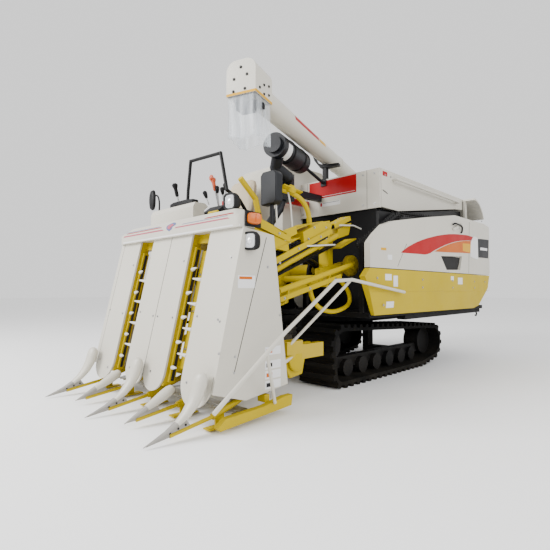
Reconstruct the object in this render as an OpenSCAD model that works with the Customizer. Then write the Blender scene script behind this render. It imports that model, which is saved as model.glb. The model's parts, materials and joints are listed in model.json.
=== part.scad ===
// Four-row head-feeding combine harvester on rubber tracks.
// Millimetres. The front faces -Y, the machine's left is +X, the ground is z = 0.

/* [Overall] */
// From the divider tips back to the header's pivot
header_l = 1905; // [1700:5:2300]
// From the header's pivot back to the rear cover
body_l = 2625; // [2350:5:3150]
// Width over the side covers
body_w = 1902; // [1700:2:2280]
// Width over the mirror and the guide rod
overall_w = 2000; // [1910:2:2400]
// Height of the auger tube's axis when stowed
auger_z = 2105; // [2060:5:2500]

/* [Tracks] */
// Distance between the track centres
track_gauge = 1000; // [900:10:1200]
// Width of a track
track_w = 400; // [330:10:450]
// Height of a track lug
lug_h = 28; // [20:1:34]
// Thickness of the track belt
belt_t = 25; // [18:1:30]
// Outer belt radius round the sprocket
sprocket_r = 145; // [120:1:175]
// Outer belt radius round the rear idler
idler_r = 165; // [135:1:180]
// Outer belt radius round the ground rollers
roller_r = 95; // [80:1:110]

/* [Body] */
// Underside of the floor frame
frame_z = 560; // [540:5:620]
// Seam between the yellow and the white side cover
seam_z = 945; // [900:5:1000]
// Top of the hood
hood_z = 1850; // [1750:5:1930]
// Wall of covers and hoods
wall_t = 20; // [12:1:26]
// Thickness of the big side covers
cover_t = 50; // [40:1:60]
// Width of the lid over the threshing drum
lid_w = 420; // [350:5:480]
// Radius of the threshing drum
drum_r = 190; // [150:1:200]
// Width of the grain tank
tank_w = 738; // [630:5:780]

/* [Header] */
// Row pitch between divider tips
row_pitch = 352; // [300:1:400]
// Sideways offset of the header's centre
header_x = 55; // [30:1:70]
// Width of the crop gap between two panels
gap_w = 195; // [165:1:230]
// Width of one row panel
panel_w = 295; // [250:1:330]
// Thickness of a row panel
panel_t = 14; // [10:1:20]
// Radius of a star wheel
star_r = 66; // [52:1:74]
// Diameter of the header's main pipe
main_pipe_d = 130; // [105:1:150]

/* [Auger] */
// Outside diameter of the unloading tube
auger_d = 165; // [140:1:190]
// Length of the tube from its pivot to the discharge head
auger_l = 3130; // [2600:10:3300]
// Width of the discharge head
spout_w = 215; // [200:1:250]

/* [Fits] */
// Radial play of a pin in its bore
pin_play = 0.05; // [0.02:0.01:0.1]
// Gap between seated pieces that do not touch
seat_gap = 0.3; // [0.2:0.1:0.8]
// Gap round a door or a lid
door_gap = 6; // [5:1:12]

/* [Hidden] */

// Facets of round things: fine for pipes, coarse for the ends of hulls
$fn = 48;
hull_fn = 28;
eps = 0.01;

// Stations along the machine
front_y = -(header_l + body_l) / 2;
rear_y = (header_l + body_l) / 2;
pivot_y = front_y + header_l;
pivot_z = 950;
side_x = body_w / 2;
edge_x = overall_w / 2;

cream = [0.86, 0.84, 0.78];
yellow = [0.95, 0.80, 0.08];
black = [0.09, 0.09, 0.10];
grey = [0.35, 0.36, 0.37];
steel = [0.62, 0.62, 0.62];

// ---- shared shapes -------------------------------------------------------

// A round bar from point a to point b
module bar(a, b, d)
{
    v = b - a;
    translate(a)
        rotate([0, acos(v[2] / norm(v)), atan2(v[1], v[0])])
            cylinder(h = norm(v), d = d);
}

// A bent tube: bars between the points, with a slightly fatter ball at each bend
bend_ball = 1.04;
module tube_path(points, d)
{
    for (i = [0 : len(points) - 2])
        bar(points[i], points[i + 1], d);
    for (i = [1 : len(points) - 2])
        translate(points[i])
            sphere(d = d * bend_ball);
}

// An outline of [y, z] points, extruded along x from x0 to x1
module side_slab(points, x0, x1)
{
    translate([x0, 0, 0])
        rotate([90, 0, 90])
            linear_extrude(height = x1 - x0)
                polygon(points);
}

// A box given by its lowest and highest corners
module block(low, high)
{
    translate(low)
        cube(high - low);
}

// Points on an arc, from angle a0 to a1
function arc_points(c, r, a0, a1, n) =
    [for (i = [0 : n]) [c[0] + r * cos(a0 + (a1 - a0) * i / n), c[1] + r * sin(a0 + (a1 - a0) * i / n)]];

// A pin and the two lugs that hold it, along z
pin_d = 16;
module lug(c, reach, h)
{
    difference()
    {
        union()
        {
            translate(c)
                cylinder(h = h, d = pin_d + 16);
            translate(c + [min(0, reach[0]), min(0, reach[1]), 0] - [reach[0] == 0 ? 8 : 0, reach[1] == 0 ? 8 : 0, 0])
                cube([reach[0] == 0 ? 16 : abs(reach[0]), reach[1] == 0 ? 16 : abs(reach[1]), h]);
        }
        translate(c - [0, 0, 1])
            cylinder(h = h + 2, r = pin_d / 2 + pin_play);
    }
}

// ---- tracks --------------------------------------------------------------

// Wheels that the belt runs round: [y, z, outer belt radius]
roller_z = roller_r + lug_h;
track_front_y = pivot_y - 160;
track_back_y = track_front_y + 1380;
track_wheels = [
    [track_front_y, roller_z, roller_r],
    [track_back_y, roller_z, roller_r],
    [track_back_y + 270, idler_r + lug_h + 42, idler_r],
    [track_front_y + 20, sprocket_r + lug_h + 157, sprocket_r]
];
wheel_n = len(track_wheels);

// Direction, in degrees, of the outward normal of the run from wheel i to the next
function run_d(i) = norm(wheel_c(i + 1) - wheel_c(i));
function wheel_c(i) = [track_wheels[i % wheel_n][0], track_wheels[i % wheel_n][1]];
function wheel_r(i) = track_wheels[i % wheel_n][2];
function run_heading(i) = atan2(wheel_c(i + 1)[1] - wheel_c(i)[1], wheel_c(i + 1)[0] - wheel_c(i)[0]);
function run_normal(i) = run_heading(i) - acos((wheel_r(i) - wheel_r(i + 1)) / run_d(i));
function run_l(i) = run_d(i) * sin(acos((wheel_r(i) - wheel_r(i + 1)) / run_d(i)));
function turn(i) = ((run_normal(i) - run_normal(i + wheel_n - 1)) % 360 + 360) % 360;
function turn_l(i) = turn(i) * PI / 180 * wheel_r(i);
// Length of the loop up to the start of run i; each run is followed by the turn at its end
function before(i) = i == 0 ? 0 : before(i - 1) + run_l(i - 1) + turn_l(i);
loop_l = before(wheel_n);
function loop_part(s, i = 0) = s < before(i + 1) ? i : loop_part(s, i + 1);
function unit(a) = [cos(a), sin(a)];
// Point at length s along the belt, moved outwards by off
function on_loop(s, off) =
    let (i = loop_part(s), t = s - before(i), a = run_normal(i))
    t <= run_l(i)
        ? wheel_c(i) + (wheel_r(i) + off) * unit(a) + t * unit(a + 90)
        : wheel_c(i + 1) + (wheel_r(i + 1) + off) * unit(a + (t - run_l(i)) / wheel_r(i + 1) * 180 / PI);

lug_n = round(loop_l / 88);
lug_pitch = loop_l / lug_n;
track_outline = [
    for (i = [0 : lug_n - 1])
        for (p = [[0.05, 0], [0.28, 0], [0.36, lug_h], [0.72, lug_h], [0.80, 0]])
            on_loop((i + p[0]) * lug_pitch, p[1])
];
inner_n = round(loop_l / 30);
track_hole = [for (i = [0 : inner_n - 1]) on_loop(i * loop_l / inner_n, -belt_t)];

module track(side)
{
    mid = side * track_gauge / 2;
    difference()
    {
        side_slab(track_outline, mid - track_w / 2, mid + track_w / 2);
        side_slab(track_hole, mid - track_w / 2 - 1, mid + track_w / 2 + 1);
    }
}

// Wheels inside the belt, their beam and its two arms up to the chassis
beam_w = 90;
wheel_half = 80;
rail_x = 215;
rail_w = 70;
rail_z = 450;
axle_z = track_wheels[3][1];
module track_frame(side)
{
    mid = side * track_gauge / 2;
    flat_r = roller_r - belt_t - seat_gap;
    for (i = [1 : 5])
        translate([mid - 90, track_front_y + i * (track_back_y - track_front_y) / 6, roller_z])
            rotate([0, 90, 0])
                cylinder(h = 180, r = flat_r);
    for (w = track_wheels)
        translate([mid - wheel_half, w[0], w[1]])
            rotate([0, 90, 0])
                cylinder(h = 2 * wheel_half, r = w[2] - belt_t - 4);
    block([mid - beam_w / 2, track_front_y - 20, roller_z], [mid + beam_w / 2, track_back_y + 290, roller_z + 90]);
    for (y = [track_front_y + 300, track_back_y - 250])
        block([min(side * rail_x, mid), y - 45, roller_z + 20], [max(side * rail_x, mid), y + 45, roller_z + 85]);
    for (y = [track_front_y + 300, track_back_y - 250])
        block([side * rail_x - rail_w / 2, y - 45, roller_z + 20], [side * rail_x + rail_w / 2, y + 45, rail_z]);
}

module left_track()
{
    color(black)
        track(1);
}

module right_track()
{
    color(black)
        track(-1);
}

module left_track_frame()
{
    color(grey)
        track_frame(1);
}

module right_track_frame()
{
    color(grey)
        track_frame(-1);
}

// ---- chassis -------------------------------------------------------------

rail_front_y = pivot_y - 130;
frame_back_y = rear_y - 260;
floor_x = side_x - cover_t;
floor_t = 40;
floor_z = frame_z + floor_t;
hook_r = 16;
hook_y = rear_y - 215;

module chassis()
{
    color(grey)
    {
        for (s = [-1, 1])
            block([s * rail_x - rail_w / 2, rail_front_y, rail_z], [s * rail_x + rail_w / 2, frame_back_y, frame_z]);
        block([-floor_x, rail_front_y + 40, frame_z], [floor_x, frame_back_y, floor_z]);
        block([cab_x0, room_y0, frame_z], [cab_x1, rail_front_y + 41, floor_z]);
        for (y = [rail_front_y + 20, pivot_y + 700, frame_back_y - 70])
            block([-rail_x, y, rail_z + 10], [rail_x, y + 60, frame_z - 10]);
        tow_eyes();
        pivot_stand();
        lift_ears();
    }
}

// Two plates with a bore, behind the frame, for towing and tying down
module tow_eyes()
{
    for (s = [-1, 1])
        difference()
        {
            block([s * rail_x - 10, frame_back_y - 60, rail_z], [s * rail_x + 10, hook_y + 45, frame_z]);
            translate([s * rail_x - 30, hook_y, rail_z + 50])
                rotate([0, 90, 0])
                    cylinder(h = 60, r = hook_r);
        }
}

// Two uprights that carry the header's pivot tube
pipe_x = -25;
pivot_x1 = 250;
stand_t = 22;
stand_play = 1;
pivot_x0 = pipe_x - main_pipe_d / 2 - 8;
pivot_pin_r = 30;
module pivot_stand()
{
    for (x = [pivot_x0 - stand_t, pivot_x1])
        difference()
        {
            side_slab(
                [[pivot_y - 70, frame_z], [pivot_y + 190, frame_z], [pivot_y + 60, pivot_z + 60],
                 [pivot_y - 50, pivot_z + 60], [pivot_y - 70, pivot_z]], x, x + stand_t);
            translate([x - 1, pivot_y, pivot_z])
                rotate([0, 90, 0])
                    cylinder(h = stand_t + 2, r = pivot_pin_r + pin_play);
        }
}

// Two ears that hold the header ram's pin; their plates reach back to the front cross member
ear_t = 14;
ear_play = 3;
ear_r = 32;
module lift_ears()
{
    for (s = [-1, 1])
    {
        x = pipe_x + s * (lift_barrel_d / 2 + ear_play + ear_t / 2);
        difference()
        {
            union()
            {
                translate([x - ear_t / 2, ram_base_y, ram_base_z])
                    rotate([0, 90, 0])
                        cylinder(h = ear_t, r = ear_r);
                block([x - ear_t / 2, ram_base_y, ram_base_z - ear_r], [x + ear_t / 2, rail_front_y + 40, ram_base_z + 60]);
            }
            translate([x - ear_t, ram_base_y, ram_base_z])
                rotate([0, 90, 0])
                    cylinder(h = 2 * ear_t, r = pin_d / 2 + pin_play);
        }
    }
}

gearbox_top = 385;
module gearbox()
{
    color(grey)
    {
        block([-rail_x + rail_w / 2 + 1, track_front_y - 20, 210], [rail_x - rail_w / 2 - 1, track_front_y + 190, gearbox_top]);
        translate([-track_gauge / 2 + wheel_half + seat_gap, track_wheels[3][0], axle_z])
            rotate([0, 90, 0])
                cylinder(h = track_gauge - 2 * wheel_half - 2 * seat_gap, d = 90);
        block([70, track_front_y + 20, gearbox_top - eps], [150, track_front_y + 110, rail_z + 10]);
    }
}

// ---- side covers ---------------------------------------------------------

cover_front_y = pivot_y - 158;
nose_z = seam_z + 210;
cover_top_z = 1549;
// [y, z] outline of the white cover, from the nose along the bottom and back over the top
side_outline = [
    [cover_front_y, seam_z + door_gap], [rear_y - 150, seam_z + door_gap], [rear_y - 60, seam_z + 100],
    [rear_y, seam_z + 230], [rear_y, cover_top_z - 40], [rear_y - 300, cover_top_z],
    [pivot_y + 1460, cover_top_z - 5], [pivot_y + 800, cover_top_z - 105], [pivot_y + 209, cover_top_z - 205],
    [pivot_y + 60, cover_top_z - 250], [pivot_y - 61, cover_top_z - 329], [cover_front_y + 18, nose_z],
    [cover_front_y, nose_z - 20]
];
corner_r = 160;

// Plan outline of a cover wall: straight, then round the rear corner
function cover_plan(y0) = concat(
    [[side_x - cover_t, y0], [side_x, y0]],
    arc_points([side_x - corner_r, rear_y - corner_r], corner_r, 0, 90, 12),
    arc_points([side_x - corner_r, rear_y - corner_r], corner_r - cover_t, 90, 0, 12)
);

hinge_x = side_x - cover_t - 18;
hinge_y = cover_front_y + 60;
module side_cover()
{
    color(cream)
    {
        difference()
        {
            intersection()
            {
                linear_extrude(height = cover_top_z + 10)
                    polygon(cover_plan(cover_front_y));
                side_slab(side_outline, side_x - corner_r - 20, side_x + 10);
            }
            side_slab(
                [[pivot_y + 1240, seam_z + 30], [pivot_y + 1580, seam_z + 40], [pivot_y + 1640, seam_z + 185],
                 [pivot_y + 1110, seam_z + 160]], side_x - 24, side_x + 1);
        }
        translate([hinge_x, hinge_y, seam_z + 20])
            cylinder(h = 170, d = pin_d);
        block([hinge_x - 4, hinge_y - 8, seam_z + 55], [side_x - cover_t + eps, hinge_y + 8, seam_z + 155]);
        side_slab(
            [[pivot_y + 1380, cover_top_z - 148], [pivot_y + 1400, cover_top_z - 168],
             [pivot_y + 1640, cover_top_z - 100], [pivot_y + 1630, cover_top_z - 70]], side_x - eps, side_x + 14);
    }
}

// The post on the frame that the side cover hangs on
module side_cover_post()
{
    color(grey)
    {
        block([hinge_x - 60, hinge_y - 20, floor_z], [hinge_x - 20, hinge_y + 20, seam_z + 200]);
        for (z = [seam_z + 25, seam_z + 165])
            lug([hinge_x, hinge_y, z], [-30, 0, 0], 18);
    }
}

cab_x0 = -floor_x + 1;
cab_x1 = -130;
cab_y0 = pivot_y - 950;
deck_y1 = pivot_y - 560;
room_y0 = deck_y1;
room_y1 = pivot_y + 50;
room_z = 1330;
deck_z = 950;
left_outline = [
    [cover_front_y, seam_z], [cover_front_y - 71, seam_z - 64], [cover_front_y + 87, frame_z + 22],
    [rear_y - 620, frame_z + 15], [rear_y - 470, frame_z + 41], [rear_y - 210, frame_z + 240],
    [rear_y - 150, seam_z]
];
right_seam_z = 800;
right_outline = [
    [room_y0 + 10, right_seam_z], [room_y0 + 60, frame_z + 15], [rear_y - 620, frame_z + 15],
    [rear_y - 470, frame_z + 41], [rear_y - 330, right_seam_z]
];
// An outline within a cross-section that draws in below its crease
module lower_cover(side, outline, top)
{
    crease = top - 180;
    intersection()
    {
        translate([0, front_y, 0])
            rotate([-90, 0, 0])
                linear_extrude(height = header_l + body_l)
                    polygon([
                        [side * (side_x - cover_t), -top], [side * side_x, -top], [side * side_x, -crease],
                        [side * (side_x - 22), -frame_z], [side * (side_x - cover_t), -frame_z]]);
        side_slab(outline, side > 0 ? 0 : -side_x - 1, side > 0 ? side_x + 1 : 0);
    }
}

module left_lower_cover()
{
    color(yellow)
        lower_cover(1, left_outline, seam_z);
}

module right_lower_cover()
{
    color(yellow)
        lower_cover(-1, right_outline, right_seam_z);
}

// ---- threshing unit ------------------------------------------------------

house_x0 = -150;
house_x1 = 700;
house_y0 = pivot_y + 350;
house_y1 = rear_y - 425;
house_z = 1500;
drum_x = 350;
drum_z = house_z - 10;
drum_y0 = house_y0 + 60;
drum_y1 = drum_y0 + 1180;
shaft_r = 25;
bearing_t = 40;

module threshing_housing()
{
    color(grey)
    {
        difference()
        {
            block([house_x0, house_y0, floor_z], [house_x1, house_y1, house_z]);
            block([drum_x - drum_r - 70, drum_y0, house_z - drum_r - 130], [drum_x + drum_r + 60, drum_y1, house_z + 1]);
            for (y = [drum_y0 - bearing_t, drum_y1])
                translate([drum_x, y - 1, drum_z])
                    rotate([-90, 0, 0])
                        cylinder(h = bearing_t + 2, r = shaft_r + pin_play);
        }
        for (y = [drum_y0 - bearing_t, drum_y1])
            difference()
            {
                block([drum_x - 60, y, drum_z - 60], [drum_x + 60, y + bearing_t, drum_z + 50]);
                translate([drum_x, y - 1, drum_z])
                    rotate([-90, 0, 0])
                        cylinder(h = bearing_t + 2, r = shaft_r + pin_play);
            }
    }
}

// The drum with rows of wire teeth
tooth_h = 45;
tooth_rows = 8;
teeth = 9;
module threshing_drum()
{
    color(steel)
    {
        translate([drum_x, drum_y0 - bearing_t, drum_z])
            rotate([-90, 0, 0])
                cylinder(h = drum_y1 - drum_y0 + 2 * bearing_t, r = shaft_r);
        translate([drum_x, drum_y0 + 12, drum_z])
            rotate([-90, 0, 0])
                cylinder(h = drum_y1 - drum_y0 - 24, r = drum_r - tooth_h);
        for (i = [0 : tooth_rows - 1])
            for (j = [0 : teeth - 1])
                translate([drum_x, drum_y0 + 80 + (j + (i % 2) / 2) * (drum_y1 - drum_y0 - 160) / teeth, drum_z])
                    rotate([0, i * 360 / tooth_rows, 0])
                        cylinder(h = drum_r, d = 12, $fn = 16);
    }
}

// Hood: front wall, top and right wall; the left part is a lid
hood_x0 = house_x0 - 10;
hood_x1 = house_x1 + 50;
split_x = hood_x1 - lid_w;
hood_y0 = pivot_y + 350;
hood_y1 = rear_y - 425;
front_wall_y = hood_y0 - 20;
module hood()
{
    color(cream)
    {
        block([hood_x0, front_wall_y, house_z + seat_gap], [hood_x1, hood_y0, hood_z]);
        block([hood_x0, hood_y0 - eps, hood_z - wall_t], [split_x - door_gap, hood_y1, hood_z]);
        block([hood_x0, hood_y0 - eps, house_z + seat_gap], [hood_x0 + wall_t, hood_y1, hood_z]);
        block([hood_x0, hood_y1 - wall_t, house_z + seat_gap], [split_x - door_gap, hood_y1, hood_z]);
        for (y = [hood_y0 + 160, hood_y1 - 220])
            lid_knuckle(y, -1);
        block([split_x - door_gap - 20, hood_y0 - eps, hood_z - 60], [split_x - door_gap, hood_y1, hood_z]);
    }
}

// Hinge along y at the split: bored knuckles on the hood, the pin on the lid
lid_hinge_z = hood_z + 12;
lid_hinge_x = split_x;
knuckle_l = 50;
module lid_knuckle(y, side)
{
    difference()
    {
        union()
        {
            translate([lid_hinge_x, y, lid_hinge_z])
                rotate([-90, 0, 0])
                    cylinder(h = knuckle_l, d = 24);
            block([lid_hinge_x - 30, y, hood_z - 2], [lid_hinge_x - 4, y + knuckle_l, hood_z + 8]);
        }
        translate([lid_hinge_x, y - 1, lid_hinge_z])
            rotate([-90, 0, 0])
                cylinder(h = knuckle_l + 2, r = 6 + pin_play);
        block([lid_hinge_x - 3, y - 1, hood_z - 20], [lid_hinge_x + 30, y + knuckle_l + 1, hood_z]);
    }
}

module hood_lid()
{
    y0 = hood_y0 + door_gap;
    color(cream)
    {
        block([split_x + 2, y0, hood_z - wall_t], [hood_x1, hood_y1, hood_z]);
        side_slab(
            [[y0, hood_z], [y0, house_z + 8], [y0 + 300, house_z + 8], [pivot_y + 1980, house_z + 205],
             [hood_y1, house_z + 225], [hood_y1, hood_z]], hood_x1 - wall_t, hood_x1);
        block([split_x + 2, hood_y1 - wall_t, house_z + 225], [hood_x1, hood_y1, hood_z]);
        for (y = [hood_y0 + 160, hood_y1 - 220])
        {
            translate([lid_hinge_x, y - 40, lid_hinge_z])
                rotate([-90, 0, 0])
                    cylinder(h = knuckle_l + 80, d = 12);
            for (e = [y - 40, y + knuckle_l + 5])
            {
                translate([lid_hinge_x, e, lid_hinge_z])
                    rotate([-90, 0, 0])
                        cylinder(h = 35, d = 24);
                block([lid_hinge_x + 2, e, hood_z - 2], [lid_hinge_x + 34, e + 35, hood_z + 10]);
            }
        }
    }
}

module lid_rail()
{
    z = hood_z - 73;
    x = hood_x1 + 45;
    color(cream)
        tube_path(
            [[hood_x1, pivot_y + 560, z], [x, pivot_y + 560, z], [x, pivot_y + 1980, z],
             [hood_x1, pivot_y + 1980, z]], 24);
}

// Wall that carries the crop rail, and the feed chain in front of it
rail_top = [[house_y0, house_z - 25], [pivot_y + 650, house_z - 10], [pivot_y + 1980, house_z + 190],
            [house_y1, house_z + 205]];
module feed_rail()
{
    color(black)
        side_slab(concat(rail_top, [[house_y1, floor_z + 300], [house_y0, floor_z + 300]]),
            house_x1, hood_x1 - wall_t - 4);
}

chain_x = hood_x1 + 15;
chain_w = 60;
module feed_chain()
{
    line = [[pivot_y + 10, 1080], [pivot_y + 610, 1400], [pivot_y + 1980, 1470], [house_y1 - 5, 1460]];
    color(black)
    {
        side_slab(concat(
            [for (p = line) p + [0, 45]],
            [for (i = [0 : 3]) line[3 - i] - [0, 45]]), chain_x, chain_x + chain_w);
        for (y = [house_y0 + 120, house_y1 - 200])
            block([hood_x1 - wall_t - 4, y, 1330], [chain_x + eps, y + 60, 1390]);
    }
}

// ---- grain tank and unloading auger --------------------------------------

tank_x1 = hood_x0 - 2;
tank_x0 = tank_x1 - tank_w;
tank_y0 = pivot_y + 60;
tank_y1 = rear_y - 845;
tank_low_z = auger_z - 175;
tank_high_z = auger_z - 70;
module grain_tank()
{
    color(cream)
        difference()
        {
            side_slab(
                [[tank_y0, floor_z + 220], [tank_y0 + 240, floor_z], [tank_y1 - 240, floor_z],
                 [tank_y1, floor_z + 220], [tank_y1, tank_low_z - 320], [tank_y1 - 230, tank_low_z],
                 [tank_y0 + 660, tank_low_z], [tank_y0 + 620, tank_high_z], [tank_y0 + 40, tank_high_z],
                 [tank_y0, tank_high_z - 40]],
                tank_x0, tank_x1);
            translate([tank_x0, tank_y0 - 1, tank_high_z - 150])
                rotate([-90, 0, 0])
                    linear_extrude(height = tank_y1 - tank_y0 + 2)
                        polygon([[-1, 10], [-1, -160], [180, -160]]);
        }
}

auger_x = -430;
auger_y = rear_y - 625;
upright_d = 170;
elbow_low_z = auger_z - 160;
// Plan heading of the stowed tube, pointing forwards and to the left
aim_x = 1.05;
aim_y = -3.1;
aim = [aim_x, aim_y, 0] / norm([aim_x, aim_y]);
across = [-aim[1], aim[0], 0];
aim_turn = atan2(aim[1], aim[0]);
// A point s along the tube, u to its side and h above its axis
function on_aim(s, u, h) = [auger_x, auger_y, auger_z] + s * aim + u * across + [0, 0, h];

// Places children in the tube's own frame: x along the tube, z up
module aimed()
{
    translate([auger_x, auger_y, auger_z])
        rotate([0, 0, aim_turn])
            children();
}

module upright_auger()
{
    color(cream)
    {
        translate([auger_x, auger_y, floor_z])
            cylinder(h = elbow_low_z - floor_z - seat_gap, d = upright_d);
        translate([auger_x, auger_y, elbow_low_z - 60])
            cylinder(h = 60 - seat_gap, d = upright_d + 40);
        block([auger_x - 130, auger_y - 110, floor_z], [auger_x + 130, auger_y + 110, floor_z + 150]);
        block([auger_x - 40, tank_y1, 1100], [auger_x + 40, auger_y - 60, 1160]);
    }
}

// Slewing elbow: collar, two cheeks with the lift pin's bores, and the ram's ears
cheek_t = 18;
cheek_gap = auger_d + 12;
lift_s = -40;
ram_s = 130;
ram_h = -460;
eye_s = 280;
eye_h = -auger_d / 2 - 34;
aug_pin_r = 11;
boom_barrel_d = 60;
module auger_elbow()
{
    color(cream)
        aimed()
        {
            translate([0, 0, -160])
                cylinder(h = 50, d = upright_d + 40);
            for (s = [-1, 1])
                difference()
                {
                    translate([0, s * (cheek_gap + cheek_t) / 2 + cheek_t / 2, 0])
                        rotate([90, 0, 0])
                            linear_extrude(height = cheek_t)
                                polygon([[-100, -150], [95, -150], [80, -60], [0, 50], [-80, 50], [-100, 30]]);
                    translate([lift_s, 0, 0])
                        rotate([90, 0, 0])
                            cylinder(h = cheek_gap + 3 * cheek_t, r = aug_pin_r + pin_play, center = true);
                }
            block([-100, -cheek_gap / 2 - cheek_t, -150], [95, cheek_gap / 2 + cheek_t, -112]);
            for (s = [-1, 1])
                difference()
                {
                    translate([0, s * (boom_barrel_d / 2 + ear_play + ear_t / 2) + ear_t / 2, 0])
                        rotate([90, 0, 0])
                            linear_extrude(height = ear_t)
                                polygon([[60, -115], [ram_s + 30, -130], [ram_s + 30, ram_h - 12],
                                         [ram_s + 12, ram_h - 30], [ram_s - 12, ram_h - 30],
                                         [upright_d / 2 + 30, ram_h - 10], [upright_d / 2 + 30, -152], [60, -152]]);
                    translate([ram_s, 0, ram_h])
                        rotate([90, 0, 0])
                            cylinder(h = 160, r = pin_d / 2 + pin_play, center = true);
                }
        }
}

module auger_tube()
{
    color(cream)
        aimed()
        {
            translate([lift_s - 60, 0, 0])
                rotate([0, 90, 0])
                    cylinder(h = auger_l - lift_s + 60, d = auger_d);
            translate([lift_s, 0, 0])
                rotate([90, 0, 0])
                    cylinder(h = cheek_gap + 2 * cheek_t, r = aug_pin_r, center = true);
            translate([lift_s, 0, 0])
                rotate([90, 0, 0])
                    cylinder(h = cheek_gap - 2, r = 40, center = true);
            for (s = [-1, 1])
                difference()
                {
                    translate([eye_s - 40, s * 30 - 7, eye_h - 26])
                        cube([80, 14, 26 + 60]);
                    translate([eye_s, 0, eye_h])
                        rotate([90, 0, 0])
                            cylinder(h = 120, r = pin_d / 2 + 0.8, center = true);
                }
        }
}

// Discharge head: a round-topped box, open below, at the tube's end
spout_l = 235;
spout_top = 150;
spout_low = -75;
spout_t = 6;
module auger_spout()
{
    outer = concat([[-spout_w / 2, spout_low], [spout_w / 2, spout_low], [spout_w / 2, spout_top - 70]],
        arc_points([spout_w / 2 - 70, spout_top - 70], 70, 0, 90, 8),
        arc_points([-spout_w / 2 + 70, spout_top - 70], 70, 90, 180, 8));
    color(cream)
        aimed()
            difference()
            {
                union()
                {
                    translate([auger_l, 0, 0])
                        rotate([90, 0, 90])
                            linear_extrude(height = spout_l)
                                polygon(outer);
                    translate([auger_l - 30, 0, 0])
                        rotate([0, 90, 0])
                            cylinder(h = 31, d = auger_d + 24);
                }
                translate([auger_l + spout_t, -spout_w / 2 + spout_t, spout_low - 1])
                    cube([spout_l - 2 * spout_t, spout_w - 2 * spout_t, spout_top - spout_low - 40]);
                translate([auger_l - 31, 0, 0])
                    rotate([0, 90, 0])
                        cylinder(h = 60, d = auger_d + 2 * seat_gap);
            }
}

curtain_h = 320;
curtain_t = 3;
module spout_curtain()
{
    color([0.85, 0.88, 0.88, 0.5])
        aimed()
            difference()
            {
                translate([auger_l + spout_t + 1, -spout_w / 2 + spout_t + 1, spout_low + 40 - curtain_h])
                    cube([spout_l - 2 * spout_t - 2, spout_w - 2 * spout_t - 2, curtain_h]);
                translate([auger_l + spout_t + 1 + curtain_t, -spout_w / 2 + spout_t + 1 + curtain_t, spout_low + 30 - curtain_h])
                    cube([spout_l - 2 * spout_t - 2 - 2 * curtain_t, spout_w - 2 * spout_t - 2 - 2 * curtain_t, curtain_h + 40]);
            }
}

// Lift ram between the elbow's ears and the tube's lug
ram_v = [eye_s - ram_s, eye_h - ram_h];
ram_rest = norm(ram_v);
ram_tilt = atan2(ram_v[1], ram_v[0]);
module ram_frame()
{
    aimed()
        translate([ram_s, 0, ram_h])
            rotate([0, -ram_tilt, 0])
                children();
}

// Barrel with its eye and pin at the origin, along x
module ram_barrel(l, d, eye_r)
{
    pin_l = d + 2 * ear_play + 2 * ear_t;
    difference()
    {
        union()
        {
            rotate([90, 0, 0])
                cylinder(h = d, r = eye_r, center = true);
            translate([eye_r - 8, 0, 0])
                rotate([0, 90, 0])
                    cylinder(h = l - eye_r + 8, d = d);
        }
        translate([l - 60, 0, 0])
            rotate([0, 90, 0])
                cylinder(h = 61, r = d / 4 + pin_play);
        translate([eye_r + 20, 0, 0])
            rotate([0, 90, 0])
                cylinder(h = l - 60 - eye_r - 20 + eps, r = d / 4 + 3);
    }
    rotate([90, 0, 0])
        cylinder(h = pin_l, d = pin_d, center = true);
}

// Rod with an eye that sits loosely between the lugs of what it lifts
module ram_rod(start, l, d, eye_r)
{
    translate([start, 0, 0])
        rotate([0, 90, 0])
            cylinder(h = l - start - eye_r + 6, r = d / 4);
    difference()
    {
        translate([l, 0, 0])
            rotate([90, 0, 0])
                cylinder(h = 40, r = eye_r, center = true);
        translate([l, 0, 0])
            rotate([90, 0, 0])
                cylinder(h = 50, r = 9, center = true);
    }
}

module auger_ram_barrel()
{
    color(black)
        ram_frame()
            ram_barrel(ram_rest - 45, boom_barrel_d, 24);
}

module auger_ram_rod()
{
    color(steel)
        ram_frame()
            ram_rod(50, ram_rest, boom_barrel_d, 20);
}

// Cradle: a post on the hood with a rubber saddle; its left lip is low so the tube can swing out
cradle_y = hood_y0 + 32;
cradle_s = (auger_y - cradle_y) / -aim[1];
cradle_x = auger_x + cradle_s * aim[0];
cradle_gap = 8;
saddle_h = -auger_d / 2 - cradle_gap;
saddle_l = 60;
module auger_cradle()
{
    h = auger_d / 2;
    foot_half = 55;
    post_half = 22;
    color(black)
    {
        aimed()
            translate([cradle_s, 0, 0])
                rotate([90, 0, 90])
                    linear_extrude(height = saddle_l, center = true)
                        polygon([
                            [-h - 42, 4], [-h - 24, 10], [-h - 12, -32], [-h * 0.85, -h * 0.92],
                            [-h * 0.35, saddle_h], [h * 0.1, saddle_h], [h * 0.3, saddle_h - 6],
                            [h + 60, saddle_h - 6], [h + 62, saddle_h - 30], [h * 0.4, saddle_h - 38],
                            [-h * 0.6, saddle_h - 30], [-h - 22, -50]]);
        block([cradle_x - post_half, cradle_y - post_half, hood_z + seat_gap],
            [cradle_x + post_half, cradle_y + post_half, auger_z + saddle_h - 20]);
        block([cradle_x - foot_half, cradle_y - foot_half, hood_z + seat_gap],
            [cradle_x + foot_half, cradle_y + foot_half, hood_z + 10]);
    }
}

// ---- rear ----------------------------------------------------------------

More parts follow.
